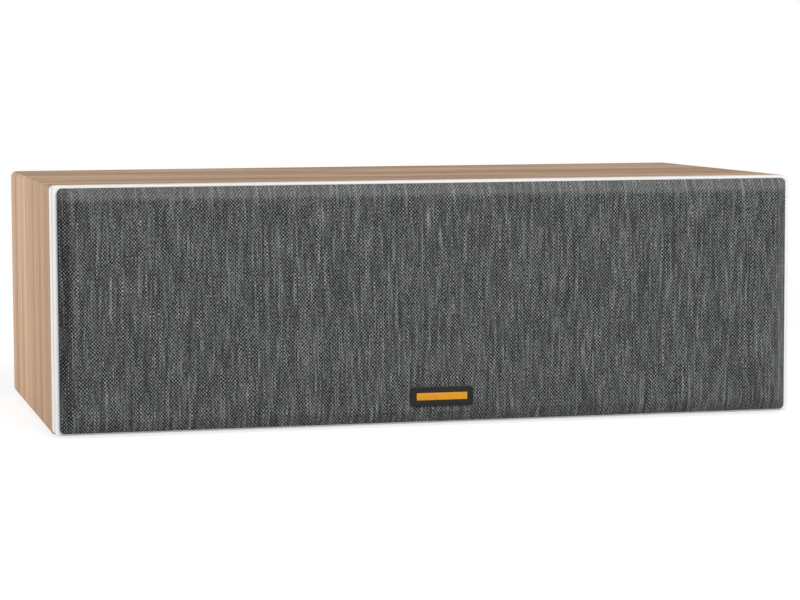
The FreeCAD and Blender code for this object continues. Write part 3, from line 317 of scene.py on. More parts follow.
oak = Finish(bpy.data.materials.new("oak_foil"))
x, y, z = oak.place()
fold = (y - wrap_low.y) * ((FOLD_REAR - FOLD_FRONT) / wrap_size.y) + FOLD_FRONT
inside = wrap_high.x - abs(x) - fold * SEAM_SHARE
lying = inside > 0.0
run = y + (grain(oak, x * 5, y * 9, z * 5) - 0.5) * GRAIN_WAVER + lying * TOP_SHIFT
boards = grain(oak, x * 4 + 0.77, run * 16 + 8.1, z * 0.8, 2)
bands = grain(oak, x * 6 + 1.13, run * 55 + 31.7, z * 1.3, 3, 0.6)
rings = grain(oak, x * 9 + 1.63, run * 230, z * 2.2, 2, 0.6)
streaks = grain(oak, x * 1.1, run * 95 + 7, z * 1.1, 1)
pores = grain(oak, x * 45, run * 2600, z * 45, 1)
tone = boards.ramp(0.38, 0.62) * 0.35 + bands.ramp(0.40, 0.60) * 0.45 + rings.ramp(0.38, 0.62) * 0.2
colour = mix(oak, tone, OAK_PALE, OAK_DEEP)
colour = mix(oak, streaks.ramp(0.60, 0.70) * 0.55, colour, OAK_STREAK)
# Painted shade: the top and bottom, past the seam, are darkened as if less light fell on them than on the
# ends.
colour = mix(oak, lying * (boards.ramp(0.38, 0.62) * 0.3 + 0.13), colour, OAK_PAINTED_SHADE)
# Painted shade: a dark line along the flat side of each fold, where shade falls at the edge.
crease_painted_shade = inside.ramp(CREASE_PAINTED_SHADE_FROM, CREASE_PAINTED_SHADE_FULL) * lying * bands.ramp(0.35, 0.65)
colour = mix(oak, crease_painted_shade * 0.5, colour, OAK_STREAK)
colour = mix(oak, pores.ramp(0.60, 0.72) * 0.35, colour, OAK_PORE)
fibre = grain(oak, x * 900, y * 900, z * 900, 2)
edge = y.ramp(wrap_high.y - RAW_FROM, wrap_high.y - RAW_FULL)
colour = mix(oak, edge, colour, mix(oak, fibre, BOARD_RAW, BOARD_DARK))
gloss = 0.62 + tone * 0.08 + pores.ramp(0.60, 0.72) * 0.12 + edge * 0.3
foil = surface(oak, colour, gloss, 1 - pores.ramp(0.58, 0.74), 0.06 * mm, {"Specular IOR Level": 0.06})
sleeve.data.materials.append(foil)
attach(sleeve, "cabinet")
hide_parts("cabinet_wrap")


# Window braces: two raw fibreboard frames glued across the inside of the sleeve.
# The fibre lies in pale and darker strands all over.
def dress(material, *names):
    """Gives solids of the frame a finish."""
    for name in names:
        for slot in nodes[name].material_slots:
            slot.material = material


FIBRE_PALE = paint(186, 152, 116)
FIBRE_DEEP = paint(150, 116, 82)

raw = Finish(bpy.data.materials.new("raw_fibreboard"))
x, y, z = raw.place()
strands = grain(raw, x * 700, y * 260, z * 260, 4, 0.65)
blotch = grain(raw, x * 30, y * 30, z * 30, 2)
colour = mix(raw, strands.ramp(0.3, 0.7) * 0.7 + blotch * 0.3, FIBRE_PALE, FIBRE_DEEP)
dress(surface(raw, colour, 0.82 + strands * 0.1, strands, 0.12 * mm), "brace_left", "brace_right")


# Front board: fibreboard sprayed with white satin lacquer, its edges rounded over and lacquered too.
# The spray leaves a faint orange-peel ripple.
LACQUER_WHITE = (0.86, 0.86, 0.855, 1)
LACQUER_SHADE = (0.80, 0.80, 0.80, 1)

lacquer = Finish(bpy.data.materials.new("white_lacquer"))
x, y, z = lacquer.place()
peel = grain(lacquer, x * 420, y * 420, z * 420, 2)
cloud = grain(lacquer, x * 14, y * 14, z * 14, 2)
colour = mix(lacquer, cloud.ramp(0.4, 0.75) * 0.6, LACQUER_WHITE, LACQUER_SHADE)
satin = surface(lacquer, colour, 0.36 + peel * 0.1, peel, 0.03 * mm, {"Specular IOR Level": 0.15})
dress(satin, "front_baffle")


# Rear board: fibreboard with a black embossed vinyl foil on its outer face.
# The emboss is a fine pebble that breaks up the light.
VINYL_DARK = paint(26, 26, 27)
VINYL_WORN = paint(44, 44, 45)

vinyl = Finish(bpy.data.materials.new("black_vinyl"))
x, y, z = vinyl.place()
spot = vinyl.add("ShaderNodeTexCoord", output="Object")
pebble = vinyl.add("ShaderNodeTexVoronoi", {"feature": "SMOOTH_F1"}, {"Vector": spot, "Scale": 900.0})
rub = grain(vinyl, x * 25, y * 25, z * 25, 4, 0.6)
colour = mix(vinyl, rub.ramp(0.4, 0.8) * 0.6 + pebble * 0.3, VINYL_DARK, VINYL_WORN)
dress(surface(vinyl, colour, 0.42 + rub * 0.2, pebble, 0.15 * mm), "rear_panel")


# Feet: four thin die-cut pads of black closed-cell rubber, stuck under the sleeve.
# The skin is fine-pored and picks up a little dust.
FOOT_BLACK = paint(30, 30, 31)
FOOT_DUST = paint(74, 72, 68)

pad_skin = Finish(bpy.data.materials.new("foot_rubber"))
x, y, z = pad_skin.place()
spot = pad_skin.add("ShaderNodeTexCoord", output="Object")
cells = pad_skin.add("ShaderNodeTexVoronoi", {}, {"Vector": spot, "Scale": 1500.0})
dust = grain(pad_skin, x * 90, y * 90, z * 90, 3)
colour = mix(pad_skin, dust.ramp(0.45, 0.85) * 0.5, FOOT_BLACK, FOOT_DUST)
dress(surface(pad_skin, colour, 0.75 + dust * 0.15, cells, 0.1 * mm), "feet")


# Damping wadding: two mats of loose white polyester fibre, glued to the end walls inside.
# Each is teased from a cut block: its edges are soft and its face is lumpy.
MAT_THICK = 20 * mm
MAT_LUMP = 3.5 * mm
mat_low, mat_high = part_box("wadding")
mat_size = Vector((MAT_THICK - MAT_LUMP,
                   mat_high.y - mat_low.y - 2 * MAT_LUMP,
                   mat_high.z - mat_low.z - 2 * MAT_LUMP))
mat_middle = (mat_low + mat_high) / 2
loft = bpy.data.textures.new("fibre_lumps", "CLOUDS")
loft.noise_scale = 0.028
loft.noise_depth = 2

mats = []
for side in (-1, 1):
    spot = Vector((side * (mat_high.x - mat_size.x / 2), mat_middle.y, mat_middle.z))
    mat = start("wadding_mat", bpy.ops.mesh.primitive_cube_add, size=1, location=spot, scale=mat_size)
    bpy.ops.mesh.subdivide(number_cuts=9)
    swell = mat.modifiers.new("round_over", "SUBSURF")
    swell.levels = 2
    swell.render_levels = 2
    tease = mat.modifiers.new("tease", "DISPLACE")
    tease.texture = loft
    tease.texture_coords = "LOCAL"
    tease.strength = 2 * MAT_LUMP
    tease.mid_level = 0.72
    mats.append(settle(mat, 60))
bpy.ops.object.select_all(action="DESELECT")
for mat in mats:
    mat.select_set(True)
bpy.ops.object.join()
wadding = bpy.context.object
wadding.name = "wadding_mats"

fleece = Finish(bpy.data.materials.new("polyester_fibre"))
x, y, z = fleece.place()
hair = grain(fleece, x * 1500, y * 420, z * 1100, 4, 0.7)
tuft = grain(fleece, x * 60, y * 60, z * 60, 3)
colour = mix(fleece, hair * 0.6 + tuft * 0.4, paint(232, 232, 228), paint(196, 196, 190))
wadding.data.materials.append(surface(fleece, colour, 0.9 + tuft * 0.08, hair + tuft, 0.5 * mm))
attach(wadding, "cabinet")
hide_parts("wadding")


# Crossover: a paper laminate board on spacers, with two copper coils, film capacitors and a cement resistor.
# Turns of enamelled wire, dipped ends and cast cement tell the parts apart.
def mottled(name, pale, deep, size, roughness, depth, fixed=None):
    """A moulded, cast or sprayed finish: two close tones in specks of a size, in relief."""
    finish = Finish(bpy.data.materials.new(name))
    x, y, z = finish.place()
    speck = grain(finish, x * (1 / size), y * (1 / size), z * (1 / size), 3, 0.6)
    patch = grain(finish, x * 35, y * 35, z * 35, 2)
    colour = mix(finish, speck.ramp(0.3, 0.7) * 0.6 + patch * 0.4, pale, deep)
    return surface(finish, colour, roughness + (patch - 0.5) * 0.16, speck, depth, fixed)


def wound(name, pale, deep, along, pitch):
    """Enamelled wire laid turn by turn along an axis, 0 to 2, at a pitch."""
    finish = Finish(bpy.data.materials.new(name))
    spots = finish.place()
    turn = (spots[along] * (2 * math.pi / pitch)).sine() * 0.5 + 0.5
    lay = grain(finish, spots[0] * 220, spots[1] * 220, spots[2] * 220, 2)
    colour = mix(finish, turn * 0.6 + lay * 0.4, deep, pale)
    return surface(finish, colour, 0.28 + lay * 0.16, turn, 0.2 * mm, {"Metallic": 1.0})


COPPER_PALE = (0.80, 0.39, 0.21, 1)
COPPER_DEEP = (0.48, 0.19, 0.09, 1)
coil_wire = wound("copper_coil", COPPER_PALE, COPPER_DEEP, 2, 1.1 * mm)
dress(coil_wire, "crossover_bass_coil", "crossover_treble_coil")

laminate = Finish(bpy.data.materials.new("circuit_laminate"))
x, y, z = laminate.place()
track = ((x * 520).sine() * (y * 430).sine()).ramp(0.55, 0.7)
fleck = grain(laminate, x * 400, y * 400, z * 400, 3)
colour = mix(laminate, fleck, paint(46, 84, 52), paint(34, 66, 42))
colour = mix(laminate, track * 0.7, colour, paint(92, 122, 66))
dress(surface(laminate, colour, 0.38 + fleck * 0.14, track, 0.05 * mm), "crossover_board")

film = Finish(bpy.data.materials.new("capacitor_film"))
x, y, z = film.place()
case_low, case_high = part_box("crossover_capacitors")
half_length = (case_high.x - case_low.x) / 2
ends = abs(x - (case_low.x + half_length)).ramp(half_length - 1.6 * mm, half_length - 1.2 * mm)
wrap = grain(film, x * 60, y * 320, z * 320, 2)
colour = mix(film, wrap, paint(196, 150, 40), paint(176, 128, 30))
colour = mix(film, ends, colour, paint(120, 86, 34))
dress(surface(film, colour, 0.25 + wrap * 0.12 + ends * 0.25, wrap, 0.06 * mm), "crossover_capacitors")

dress(mottled("cast_cement", paint(214, 210, 200), paint(186, 180, 168), 0.5 * mm, 0.85, 0.12 * mm),
      "crossover_resistor")

BLACK_PALE = paint(40, 40, 41)
BLACK_DEEP = paint(26, 26, 27)
moulded_black = mottled("moulded_black", BLACK_PALE, BLACK_DEEP, 0.35 * mm, 0.48, 0.05 * mm)
dress(moulded_black, "board_spacers")


# Internal leads: pairs of stranded copper in vinyl, red and black, soldered to the tags.
# The sleeving is smooth and a little waxy, with a faint mottle.
sleeving = Finish(bpy.data.materials.new("vinyl_sleeving"))
x, y, z = sleeving.place()
bloom = grain(sleeving, x * 120, y * 120, z * 120, 3)
red = mix(sleeving, bloom, paint(168, 30, 28), paint(138, 22, 22))
black = mix(sleeving, bloom, paint(40, 40, 40), paint(26, 26, 26))
colour = mix(sleeving, x > 0, red, black)
dress(surface(sleeving, colour, 0.4 + bloom * 0.15, bloom, 0.05 * mm), "internal_leads")


# Reflex ports: two flared tubes moulded in black plastic, pushed into the rear board from outside.
# The mould leaves a fine spark texture on the flange.
port_plastic = mottled("port_plastic", paint(36, 36, 37), paint(24, 24, 25), 0.5 * mm, 0.52, 0.08 * mm)
dress(port_plastic, "port_left", "port_right")


# Terminal cup: a square moulded dish on a foam gasket, held by four screws, with a pair of binding posts.
# The posts are turned brass, gold plated; their fluted caps are gloss plastic, red and black.
dress(moulded_black, "terminal_cup")
foam = mottled("gasket_foam", paint(48, 48, 48), paint(28, 28, 28), 0.4 * mm, 0.92, 0.25 * mm)
dress(foam, "terminal_gasket")

THREAD_PITCH = 0.7 * mm
gilt = Finish(bpy.data.materials.new("gold_plate"))
x, y, z = gilt.place()
thread = (y * (2 * math.pi / THREAD_PITCH)).sine() * 0.5 + 0.5
tarnish = grain(gilt, x * 160, y * 160, z * 160, 3)
colour = mix(gilt, tarnish.ramp(0.35, 0.8) * 0.7, (0.90, 0.66, 0.27, 1), (0.72, 0.49, 0.17, 1))
plating = surface(gilt, colour, 0.18 + tarnish * 0.16, thread, 0.22 * mm, {"Metallic": 1.0})
dress(plating, "post_red", "post_black")

dress(mottled("cap_red", paint(170, 20, 22), paint(142, 14, 16), 0.6 * mm, 0.24, 0.02 * mm), "cap_red")
dress(mottled("cap_black", paint(34, 34, 35), paint(22, 22, 23), 0.6 * mm, 0.24, 0.02 * mm), "cap_black")


def turned_steel(name, pale, deep):
    """Zinc-plated turned steel, with fine tool lines round an axis along Y."""
    finish = Finish(bpy.data.materials.new(name))
    x, y, z = finish.place()
    lines = (y * 21000).sine() * 0.5 + 0.5
    stain = grain(finish, x * 90, y * 90, z * 90, 4, 0.6)
    colour = mix(finish, stain.ramp(0.3, 0.75), pale, deep)
    return surface(finish, colour, 0.26 + stain * 0.2 + lines * 0.04, lines, 0.02 * mm, {"Metallic": 1.0})


plated = turned_steel("plated_steel", (0.66, 0.66, 0.65, 1), (0.50, 0.50, 0.50, 1))
dress(plated, "post_nuts")


# Woofers: pressed steel baskets with ferrite motors, black paper cones and rubber surrounds.
# Surround and spider are soft rings that give as the cone travels, so they are drawn anew here.
def ring_out(name, centre, profile, steps=96):
    """A circle at the profile's first radius and depth, drawn out through the rest, round an axis along Y."""
    radius, depth = profile[0]
    piece = start(name, bpy.ops.mesh.primitive_circle_add, vertices=steps, radius=radius,
                  location=(centre.x, centre.y + depth, centre.z), rotation=(math.pi / 2, 0, 0))
    for wide, deep in profile[1:]:
        bpy.ops.mesh.extrude_edges_move(TRANSFORM_OT_translate={"value": (0, deep - depth, 0)})
        bpy.ops.transform.resize(value=(wide / radius, 1, wide / radius),
                                 center_override=(centre.x, centre.y + deep, centre.z))
        radius, depth = wide, deep
    bpy.ops.mesh.select_all(action="SELECT")
    bpy.ops.mesh.normals_make_consistent(inside=False)
    return piece


def follow(piece, centre, inner, outer):
    """Bakes a ring's transform; the share of the cone's travel at each radius is worked out but not used, so
    the ring does not give.
    """
    centre.x + outer
    centre.x + inner
    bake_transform(piece)
    for point in piece.data.vertices:
        radius = math.hypot(point.co.x - centre.x, point.co.z - centre.z)
        min(max((outer - radius) / (outer - inner), 0.0), 1.0)


BAFFLE_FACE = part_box("front_baffle")[0].y
MIDDLE_HEIGHT = 79 * mm
WOOFER_ACROSS = 150 * mm
ROLL_MIDDLE, ROLL_RADIUS = 50.25 * mm, 3.35 * mm
ROLL_INNER, ROLL_OUTER = 46.5 * mm, 54.0 * mm
LIP_INNER, LIP_OUTER = 43.5 * mm, 58.5 * mm
FLAT_INNER, FLAT_OUTER = 45.2 * mm, 55.3 * mm
FOOT_INNER, FOOT_OUTER = 46.6 * mm, 53.9 * mm
LIP_LEVEL, FOOT_LEVEL = 0.4 * mm, 0.3 * mm
SURROUND_THICK = 0.8 * mm
ROLL_STEPS = 14
SPIDER_LEVEL = 22.75 * mm
SPIDER_INNER, SPIDER_OUTER = 13.2 * mm, 46.0 * mm
WAVE_FROM, WAVE_TO = 15.2 * mm, 37.5 * mm
WAVE_HEIGHT = 1.4 * mm
HALF_WAVES, WAVE_STEPS = 6, 6
SPIDER_THICK = 0.5 * mm
SPIDER_KNIT = 0.7 * mm

roll = [(LIP_INNER, LIP_LEVEL), (FLAT_INNER, LIP_LEVEL), (FOOT_INNER, FOOT_LEVEL)]
for step in range(ROLL_STEPS + 1):
    turn = math.pi * (1 - step / ROLL_STEPS)
    roll.append((ROLL_MIDDLE + ROLL_RADIUS * math.cos(turn), -ROLL_RADIUS * math.sin(turn)))
roll += [(FOOT_OUTER, FOOT_LEVEL), (FLAT_OUTER, LIP_LEVEL), (LIP_OUTER, LIP_LEVEL)]

waves = [(SPIDER_INNER, SPIDER_LEVEL), (WAVE_FROM, SPIDER_LEVEL)]
for step in range(1, HALF_WAVES * WAVE_STEPS + 1):
    share = step / (HALF_WAVES * WAVE_STEPS)
    sway = WAVE_HEIGHT * math.sin(math.pi * HALF_WAVES * share)
    waves.append((WAVE_FROM + (WAVE_TO - WAVE_FROM) * share, SPIDER_LEVEL + sway))
waves.append((SPIDER_OUTER, SPIDER_LEVEL))

rubber = mottled("surround_rubber", paint(38, 38, 39), paint(26, 26, 27), 0.25 * mm, 0.46, 0.03 * mm,
                 {"Specular IOR Level": 0.45})

resin = Finish(bpy.data.materials.new("spider_cloth"))
x, y, z = resin.place()
knit = (x * (math.pi / SPIDER_KNIT)).sine() * (z * (math.pi / SPIDER_KNIT)).sine()
colour = mix(resin, knit.ramp(-0.6, 0.6), paint(150, 96, 44), paint(196, 146, 84))
spider_cloth = surface(resin, colour, 0.7 + abs(knit) * 0.1, abs(knit), 0.15 * mm)

pulp = Finish(bpy.data.materials.new("cone_paper"))
x, y, z = pulp.place()
fibre = grain(pulp, x * 620, y * 620, z * 620, 5, 0.7)
clump = grain(pulp, x * 110, y * 110, z * 110, 3)
colour = mix(pulp, fibre.ramp(0.3, 0.75) * 0.7 + clump * 0.3, paint(30, 30, 31), paint(58, 58, 58))
cone_paper = surface(pulp, colour, 0.68 + clump * 0.15, fibre + clump, 0.1 * mm)

painted_steel = mottled("basket_steel", paint(40, 40, 41), paint(28, 28, 29), 0.3 * mm, 0.38, 0.02 * mm)
voice_wire = wound("voice_coil_wire", COPPER_PALE, COPPER_DEEP, 1, 0.35 * mm)
ferrite = mottled("ferrite", paint(58, 58, 60), paint(40, 40, 42), 0.8 * mm, 0.62, 0.06 * mm)
phenolic = mottled("tag_laminate", paint(150, 96, 52), paint(118, 72, 36), 0.7 * mm, 0.5, 0.04 * mm)
dress(phenolic, "woofer_tag_strips")

for side, sign in (("left", -1), ("right", 1)):
    centre = Vector((sign * WOOFER_ACROSS, BAFFLE_FACE, MIDDLE_HEIGHT))
    dress(painted_steel, "woofer_%s_basket" % side)
    dress(foam, "woofer_%s_gasket" % side)
    dress(cone_paper, "woofer_%s_cone" % side, "woofer_%s_dust_cap" % side)
    dress(voice_wire, "woofer_%s_voice_coil" % side)
    dress(plated, "woofer_%s_top_plate" % side, "woofer_%s_yoke" % side)
    dress(ferrite, "woofer_%s_magnet" % side)
    soft = (("surround", roll, SURROUND_THICK, rubber, "surround_rubber", ROLL_INNER, ROLL_OUTER),
            ("spider", waves, SPIDER_THICK, spider_cloth, "spider_cloth", WAVE_FROM, WAVE_TO))
    for part, profile, thick, material, slot, inner, outer in soft:
        ring = ring_out("%s_%s" % (part, side), centre, profile)
        wall = ring.modifiers.new("wall", "SOLIDIFY")
        wall.thickness = thick
        wall.offset = 0.0
        settle(ring, 50)
        ring.data.materials.append(material)
        follow(ring, centre, inner, outer)
        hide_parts("woofer_%s_%s" % (side, part))


# Tweeter: a coated silk dome on a moulded faceplate with a shallow horn, and a small ferrite motor behind.
# The dome's weave shows through its tacky coating.
dress(moulded_black, "tweeter_faceplate")
dress(foam, "tweeter_gasket")
dress(plated, "tweeter_top_plate", "tweeter_yoke")
dress(ferrite, "tweeter_magnet")
dress(phenolic, "tweeter_tag_strip")
dress(voice_wire, "tweeter_voice_coil")

SILK_KNIT = 0.3 * mm
silk = Finish(bpy.data.materials.new("coated_silk"))
x, y, z = silk.place()
knit = (x * (math.pi / SILK_KNIT)).sine() * (z * (math.pi / SILK_KNIT)).sine()
coat = grain(silk, x * 200, y * 200, z * 200, 2)
colour = mix(silk, knit.ramp(-0.7, 0.7) * 0.6 + coat * 0.4, paint(22, 22, 24), paint(46, 46, 50))
dress(surface(silk, colour, 0.36 + coat * 0.16, abs(knit), 0.05 * mm), "tweeter_dome")


# Screws: black countersunk wood screws with a hexagon socket, sixteen alike.
# Eight hold the woofers, four the tweeter and four the terminal cup, their heads flush.
HEAD_RADIUS, HEAD_HEIGHT = 3.2 * mm, 1.8 * mm
SHANK_RADIUS, SCREW_LENGTH = 1.6 * mm, 14 * mm
SOCKET_RADIUS, SOCKET_DEPTH = 1.45 * mm, 1.5 * mm
HEAD_EDGE = 0.15 * mm
TIP_RADIUS, TIP_LENGTH = 0.3 * mm, 2 * mm
SCREW_STEPS = 32
SCREW_TURN = 0.7
WOOFER_CIRCLE, TWEETER_CIRCLE = 62.5 * mm, 36 * mm
CUP_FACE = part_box("terminal_cup")[1].y
CUP_ACROSS, CUP_UP = 39.5 * mm, 29.5 * mm

outline = [(HEAD_RADIUS - HEAD_EDGE, 0.0), (HEAD_RADIUS, HEAD_EDGE), (SHANK_RADIUS, HEAD_HEIGHT),
           (SHANK_RADIUS, SCREW_LENGTH - TIP_LENGTH), (TIP_RADIUS, SCREW_LENGTH)]
pattern = ring_out("screw_pattern", Vector((0, 0, 0)), outline, SCREW_STEPS)
pick(pattern, "EDGE", lambda edge: edge.is_boundary)
bpy.ops.mesh.edge_face_add()
bpy.ops.mesh.select_all(action="SELECT")
bpy.ops.mesh.normals_make_consistent(inside=False)
settle(pattern)
key = start("hexagon_key", bpy.ops.mesh.primitive_cylinder_add, vertices=6, radius=SOCKET_RADIUS,
            depth=2 * SOCKET_DEPTH, rotation=(math.pi / 2, 0, 0))
settle(key)
bpy.ops.object.select_all(action="DESELECT")
pattern.select_set(True)
bpy.context.view_layer.objects.active = pattern
socket = pattern.modifiers.new("socket", "BOOLEAN")
socket.object = key
socket.operation = "DIFFERENCE"
socket.solver = "EXACT"
bpy.ops.object.modifier_apply(modifier=socket.name)
bpy.ops.object.shade_smooth_by_angle(angle=math.radians(30))
bpy.data.objects.remove(key)
black_oxide = mottled("black_oxide", paint(52, 52, 53), paint(34, 34, 35), 0.3 * mm, 0.34, 0.01 * mm,
                      {"Metallic": 0.8})
pattern.data.materials.append(black_oxide)


def around(x, reach):
    """Four points on a circle about a driver's centre, at the diagonals."""
    step = reach * math.sqrt(0.5)
    return [(x + a * step, BAFFLE_FACE, MIDDLE_HEIGHT + b * step, 0) for a in (-1, 1) for b in (-1, 1)]


groups = {"woofer_screws": around(-WOOFER_ACROSS, WOOFER_CIRCLE) + around(WOOFER_ACROSS, WOOFER_CIRCLE),
          "tweeter_screws": around(0.0, TWEETER_CIRCLE),
          "terminal_screws": [(a * CUP_ACROSS, CUP_FACE, MIDDLE_HEIGHT + b * CUP_UP, math.pi)
                              for a in (-1, 1) for b in (-1, 1)]}
for group, spots in groups.items():
    bpy.ops.object.select_all(action="DESELECT")
    for number, (x, y, z, turn) in enumerate(spots):
        screw = pattern.copy()
        screw.data = pattern.data.copy()
        twist = Matrix.Rotation(SCREW_TURN * number, 4, "Y")
        screw.data.transform(Matrix.Translation((x, y, z)) @ Matrix.Rotation(turn, 4, "Z") @ twist)
        bpy.context.collection.objects.link(screw)
        screw.select_set(True)
        bpy.context.view_layer.objects.active = screw
    bpy.ops.object.join()
    screws = bpy.context.object
    screws.name = group + "_set"
    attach(screws, "cabinet")
    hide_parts(group)
bpy.data.objects.remove(pattern)


# Grille frame: a moulded plastic frame with a bevelled edge and two cross bars, on six push-in pegs.
# The pegs snap into cups pressed in the front board.
dress(moulded_black, "peg_sockets", "grille_pegs")
grille_plastic = mottled("grille_plastic", paint(34, 34, 35), paint(24, 24, 25), 0.6 * mm, 0.55, 0.06 * mm)
dress(grille_plastic, "grille_frame")


# Grille cloth: plain-woven polyester, heathered grey warp over near-black weft, stretched over the frame.
# It follows the bevel, goes down the sides and is glued where it folds over the back.
CLOTH_HALF = Vector((236.7 * mm, 0, 75.5 * mm))
CLOTH_FRONT, CLOTH_SHOULDER, CLOTH_BACK = -123.9 * mm, -119.4 * mm, -117.2 * mm
BEVEL_WIDTH, CLOTH_FOLD = 7.5 * mm, 5.5 * mm
EDGE_RADIUS = 3.0 * mm
FACE_INSET = 2 * mm
ROUNDINGS = ((CLOTH_FRONT, 1.3 * mm, 5), (CLOTH_SHOULDER, 0.7 * mm, 4), (CLOTH_BACK, 0.6 * mm, 3))
TURN_LEAST = 0.1
CLOTH_THICK = 0.5 * mm
WARP_PITCH, WEFT_PITCH = 1.05 * mm, 1.15 * mm

cloth_middle = (0, CLOTH_SHOULDER, MIDDLE_HEIGHT)
cloth = start("stretched_cloth", bpy.ops.mesh.primitive_plane_add, size=1, location=cloth_middle,
              rotation=(math.pi / 2, 0, 0))
bpy.ops.transform.resize(value=(2 * CLOTH_HALF.x, 1, 2 * CLOTH_HALF.z), center_override=cloth_middle)
bpy.ops.mesh.bevel(offset=EDGE_RADIUS, segments=8, affect="VERTICES")
bpy.ops.mesh.delete(type="ONLY_FACE")


def draw_over(before, level, inset):
    """Pulls the cloth's outline from one level on to another, with its edge so far in from the sides."""
    bpy.ops.mesh.extrude_edges_move(TRANSFORM_OT_translate={"value": (0, level - before, 0)})
    bpy.ops.transform.resize(value=(1 - inset / CLOTH_HALF.x, 1, 1 - inset / CLOTH_HALF.z),
                             center_override=(0, level, MIDDLE_HEIGHT))


def at_level(edge, level):
    return all(abs(vert.co.y - level) < NEAR for vert in edge.verts)


def turns(edge, level):
    """True for an edge at a level where the cloth turns a corner."""
    return at_level(edge, level) and not edge.is_boundary and edge.calc_face_angle(0.0) > TURN_LEAST


bpy.ops.mesh.select_all(action="SELECT")
draw_over(CLOTH_SHOULDER, CLOTH_FRONT, BEVEL_WIDTH)
bpy.ops.mesh.edge_face_add()
bpy.ops.mesh.inset(thickness=FACE_INSET)
pick(cloth, "EDGE", lambda edge: at_level(edge, CLOTH_SHOULDER))
draw_over(CLOTH_SHOULDER, CLOTH_BACK, 0.0)
draw_over(CLOTH_BACK, CLOTH_BACK, CLOTH_FOLD)
for level, offset, segments in ROUNDINGS:
    pick(cloth, "EDGE", lambda edge: turns(edge, level))
    bpy.ops.mesh.bevel(offset=offset, segments=segments, affect="EDGES")
bpy.ops.mesh.select_all(action="SELECT")
bpy.ops.mesh.normals_make_consistent(inside=False)
ply = cloth.modifiers.new("thread_thickness", "SOLIDIFY")
ply.thickness = CLOTH_THICK
ply.offset = -1.0
settle(cloth, 40)

WARP_DEEP = (0.100, 0.105, 0.103, 1)
WARP_PALE = (0.222, 0.231, 0.231, 1)
WARP_BRIGHT = (0.335, 0.342, 0.315, 1)
WEFT = (0.009, 0.010, 0.011, 1)

weave = Finish(bpy.data.materials.new("heathered_weave"))
x, y, z = weave.place()
sway_x = (grain(weave, x * 260, y * 60, z * 40, 3, 0.6) - 0.5) * (1.5 * mm)
sway_z = (grain(weave, x * 50, y * 60, z * 240, 3, 0.6) - 0.5) * (1.2 * mm)
column = (x + sway_x) * (1 / WARP_PITCH)
row = (z + sway_z) * (1 / WEFT_PITCH)
lap = (column * math.pi).sine() * (row * math.pi).sine()
uneven = grain(weave, x * 800, 0.0, z * 500, 1) - 0.5
bend = Vector((CLOTH_HALF.x - BEVEL_WIDTH, 0, MIDDLE_HEIGHT + CLOTH_HALF.z - BEVEL_WIDTH))
# Painted light: the top bevel, and less so the right one, are made lighter in yarn and gaps alike, as where
# more light falls.
bevel_painted_light = z.ramp(bend.z - 2 * mm, bend.z + 2 * mm) * 0.55 + x.ramp(bend.x - 1 * mm, bend.x + 3 * mm) * 0.25
# Painted shade: the left bevel shows more dark weft, as where less light falls.
left_bevel_painted_shade = x.ramp(1 * mm - bend.x, -2 * mm - bend.x)
floats = grain(weave, column.whole() * 5.13 + 40, row * 0.04, 0.0, 1).ramp(0.58, 0.74)
fine = grain(weave, x * 1500, 0.0, z * 30, 1).ramp(0.52, 0.68)
over = (lap + uneven * 1.8 + floats * 0.4 + fine * 0.6 - 0.12 - left_bevel_painted_shade * 0.3).ramp(-0.26, 0.26)
heather = grain(weave, column.whole() * 7.31, row * 0.055, 0.0, 2, 0.6)
slub = grain(weave, x * 420, 0.0, z * 26, 3, 0.6)
fibre = grain(weave, x * 5200, 0.0, z * 1400, 1)
yarn = mix(weave, (heather * 0.6 + slub * 0.4).ramp(0.38, 0.62), WARP_DEEP, WARP_PALE)
yarn = mix(weave, heather.ramp(0.60, 0.72) * 0.7 + floats * 0.15 + bevel_painted_light * 0.4, yarn, WARP_BRIGHT)
yarn = mix(weave, fibre.ramp(0.55, 0.8) * 0.3, yarn, WEFT)
patches = grain(weave, x * 150, 0.0, z * 55, 2)
knots = grain(weave, x * 560, 0.0, z * 800, 1)
closed = (patches * 0.6 + knots * 0.6).ramp(0.56, 0.80)
hollow = mix(weave, closed * 0.5 + bevel_painted_light, WEFT, WARP_DEEP)
colour = mix(weave, over, hollow, yarn)
woven = surface(weave, colour, 0.88 + fibre * 0.08, abs(lap), 0.16 * mm, {"Specular IOR Level": 0.2})
cloth.data.materials.append(woven)
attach(cloth, "grille")
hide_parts("grille_cloth")


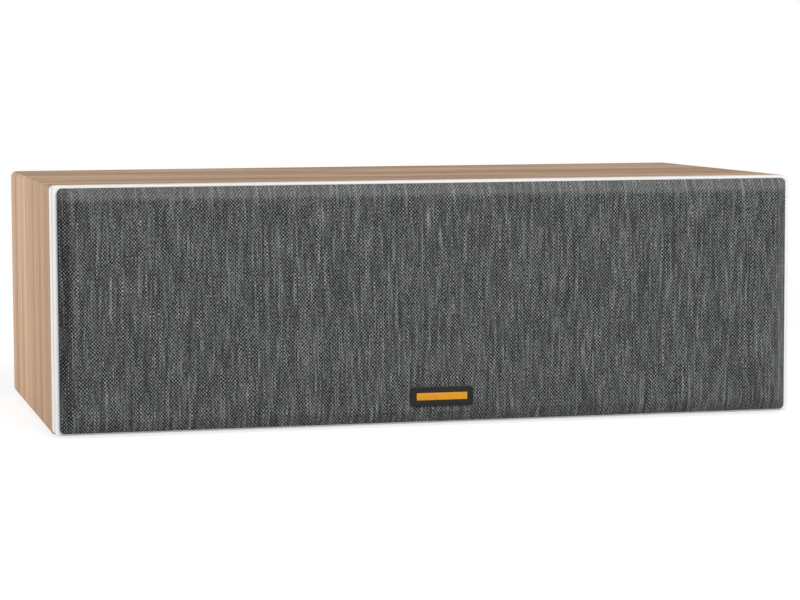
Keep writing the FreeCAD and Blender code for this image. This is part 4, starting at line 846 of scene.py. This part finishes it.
# Plaque: a small black enamelled plate with a plain amber bar, stuck to the cloth low in the middle.
# A raised rim frames the recessed field, and the bar stands level with the rim.
plate_low, plate_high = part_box("grille_badge")
plate_size = plate_high - plate_low
plate_middle = (plate_low + plate_high) / 2
CORNER_RADIUS, RIM_WIDTH, FIELD_DEPTH = 2.0 * mm, 0.7 * mm, 0.35 * mm
PLATE_EDGE, BAR_EDGE = 0.15 * mm, 0.12 * mm
BAR_SIZE = Vector((33 * mm, FIELD_DEPTH + 0.2 * mm, 4.6 * mm))
BAR_MARGIN = 0.02 * mm

plaque = start("plain_plaque", bpy.ops.mesh.primitive_cube_add, size=1, location=plate_middle,
               scale=plate_size)
pick(plaque, "EDGE", lambda edge: abs((edge.verts[0].co - edge.verts[1].co).y) > 0.5 * plate_size.y)
bpy.ops.mesh.bevel(offset=CORNER_RADIUS, segments=6, affect="EDGES")
pick(plaque, "FACE", lambda face: face.normal.y < -0.9)
bpy.ops.mesh.bevel(offset=PLATE_EDGE, segments=2, affect="EDGES")
pick(plaque, "FACE", lambda face: face.normal.y < -0.99 and len(face.verts) > 4)
bpy.ops.mesh.inset(thickness=RIM_WIDTH)
bpy.ops.mesh.extrude_region_move(TRANSFORM_OT_translate={"value": (0, FIELD_DEPTH, 0)})
bpy.ops.mesh.select_all(action="DESELECT")
bar_middle = Vector((plate_middle.x, plate_low.y + BAR_SIZE.y / 2, plate_middle.z))
bpy.ops.mesh.primitive_cube_add(size=1, location=bar_middle, scale=BAR_SIZE)
bpy.ops.mesh.bevel(offset=BAR_EDGE, segments=2, affect="EDGES")
settle(plaque, 40)

enamel = Finish(bpy.data.materials.new("enamel_plate"))
x, y, z = enamel.place()
flow = grain(enamel, x * 300, y * 300, z * 300, 3)
along_bar = abs(x - plate_middle.x) < BAR_SIZE.x / 2 + BAR_MARGIN
up_bar = abs(z - plate_middle.z) < BAR_SIZE.z / 2 + BAR_MARGIN
bar = along_bar * up_bar
black = mix(enamel, flow, paint(16, 15, 14), paint(26, 24, 22))
amber = mix(enamel, flow, paint(226, 158, 34), paint(204, 136, 24))
colour = mix(enamel, bar, black, amber)
glaze = surface(enamel, colour, 0.45 + flow * 0.14, flow, 0.02 * mm, {"Specular IOR Level": 0.25})
plaque.data.materials.append(glaze)
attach(plaque, "grille")
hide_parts("grille_badge")


bpy.context.view_layer.update()
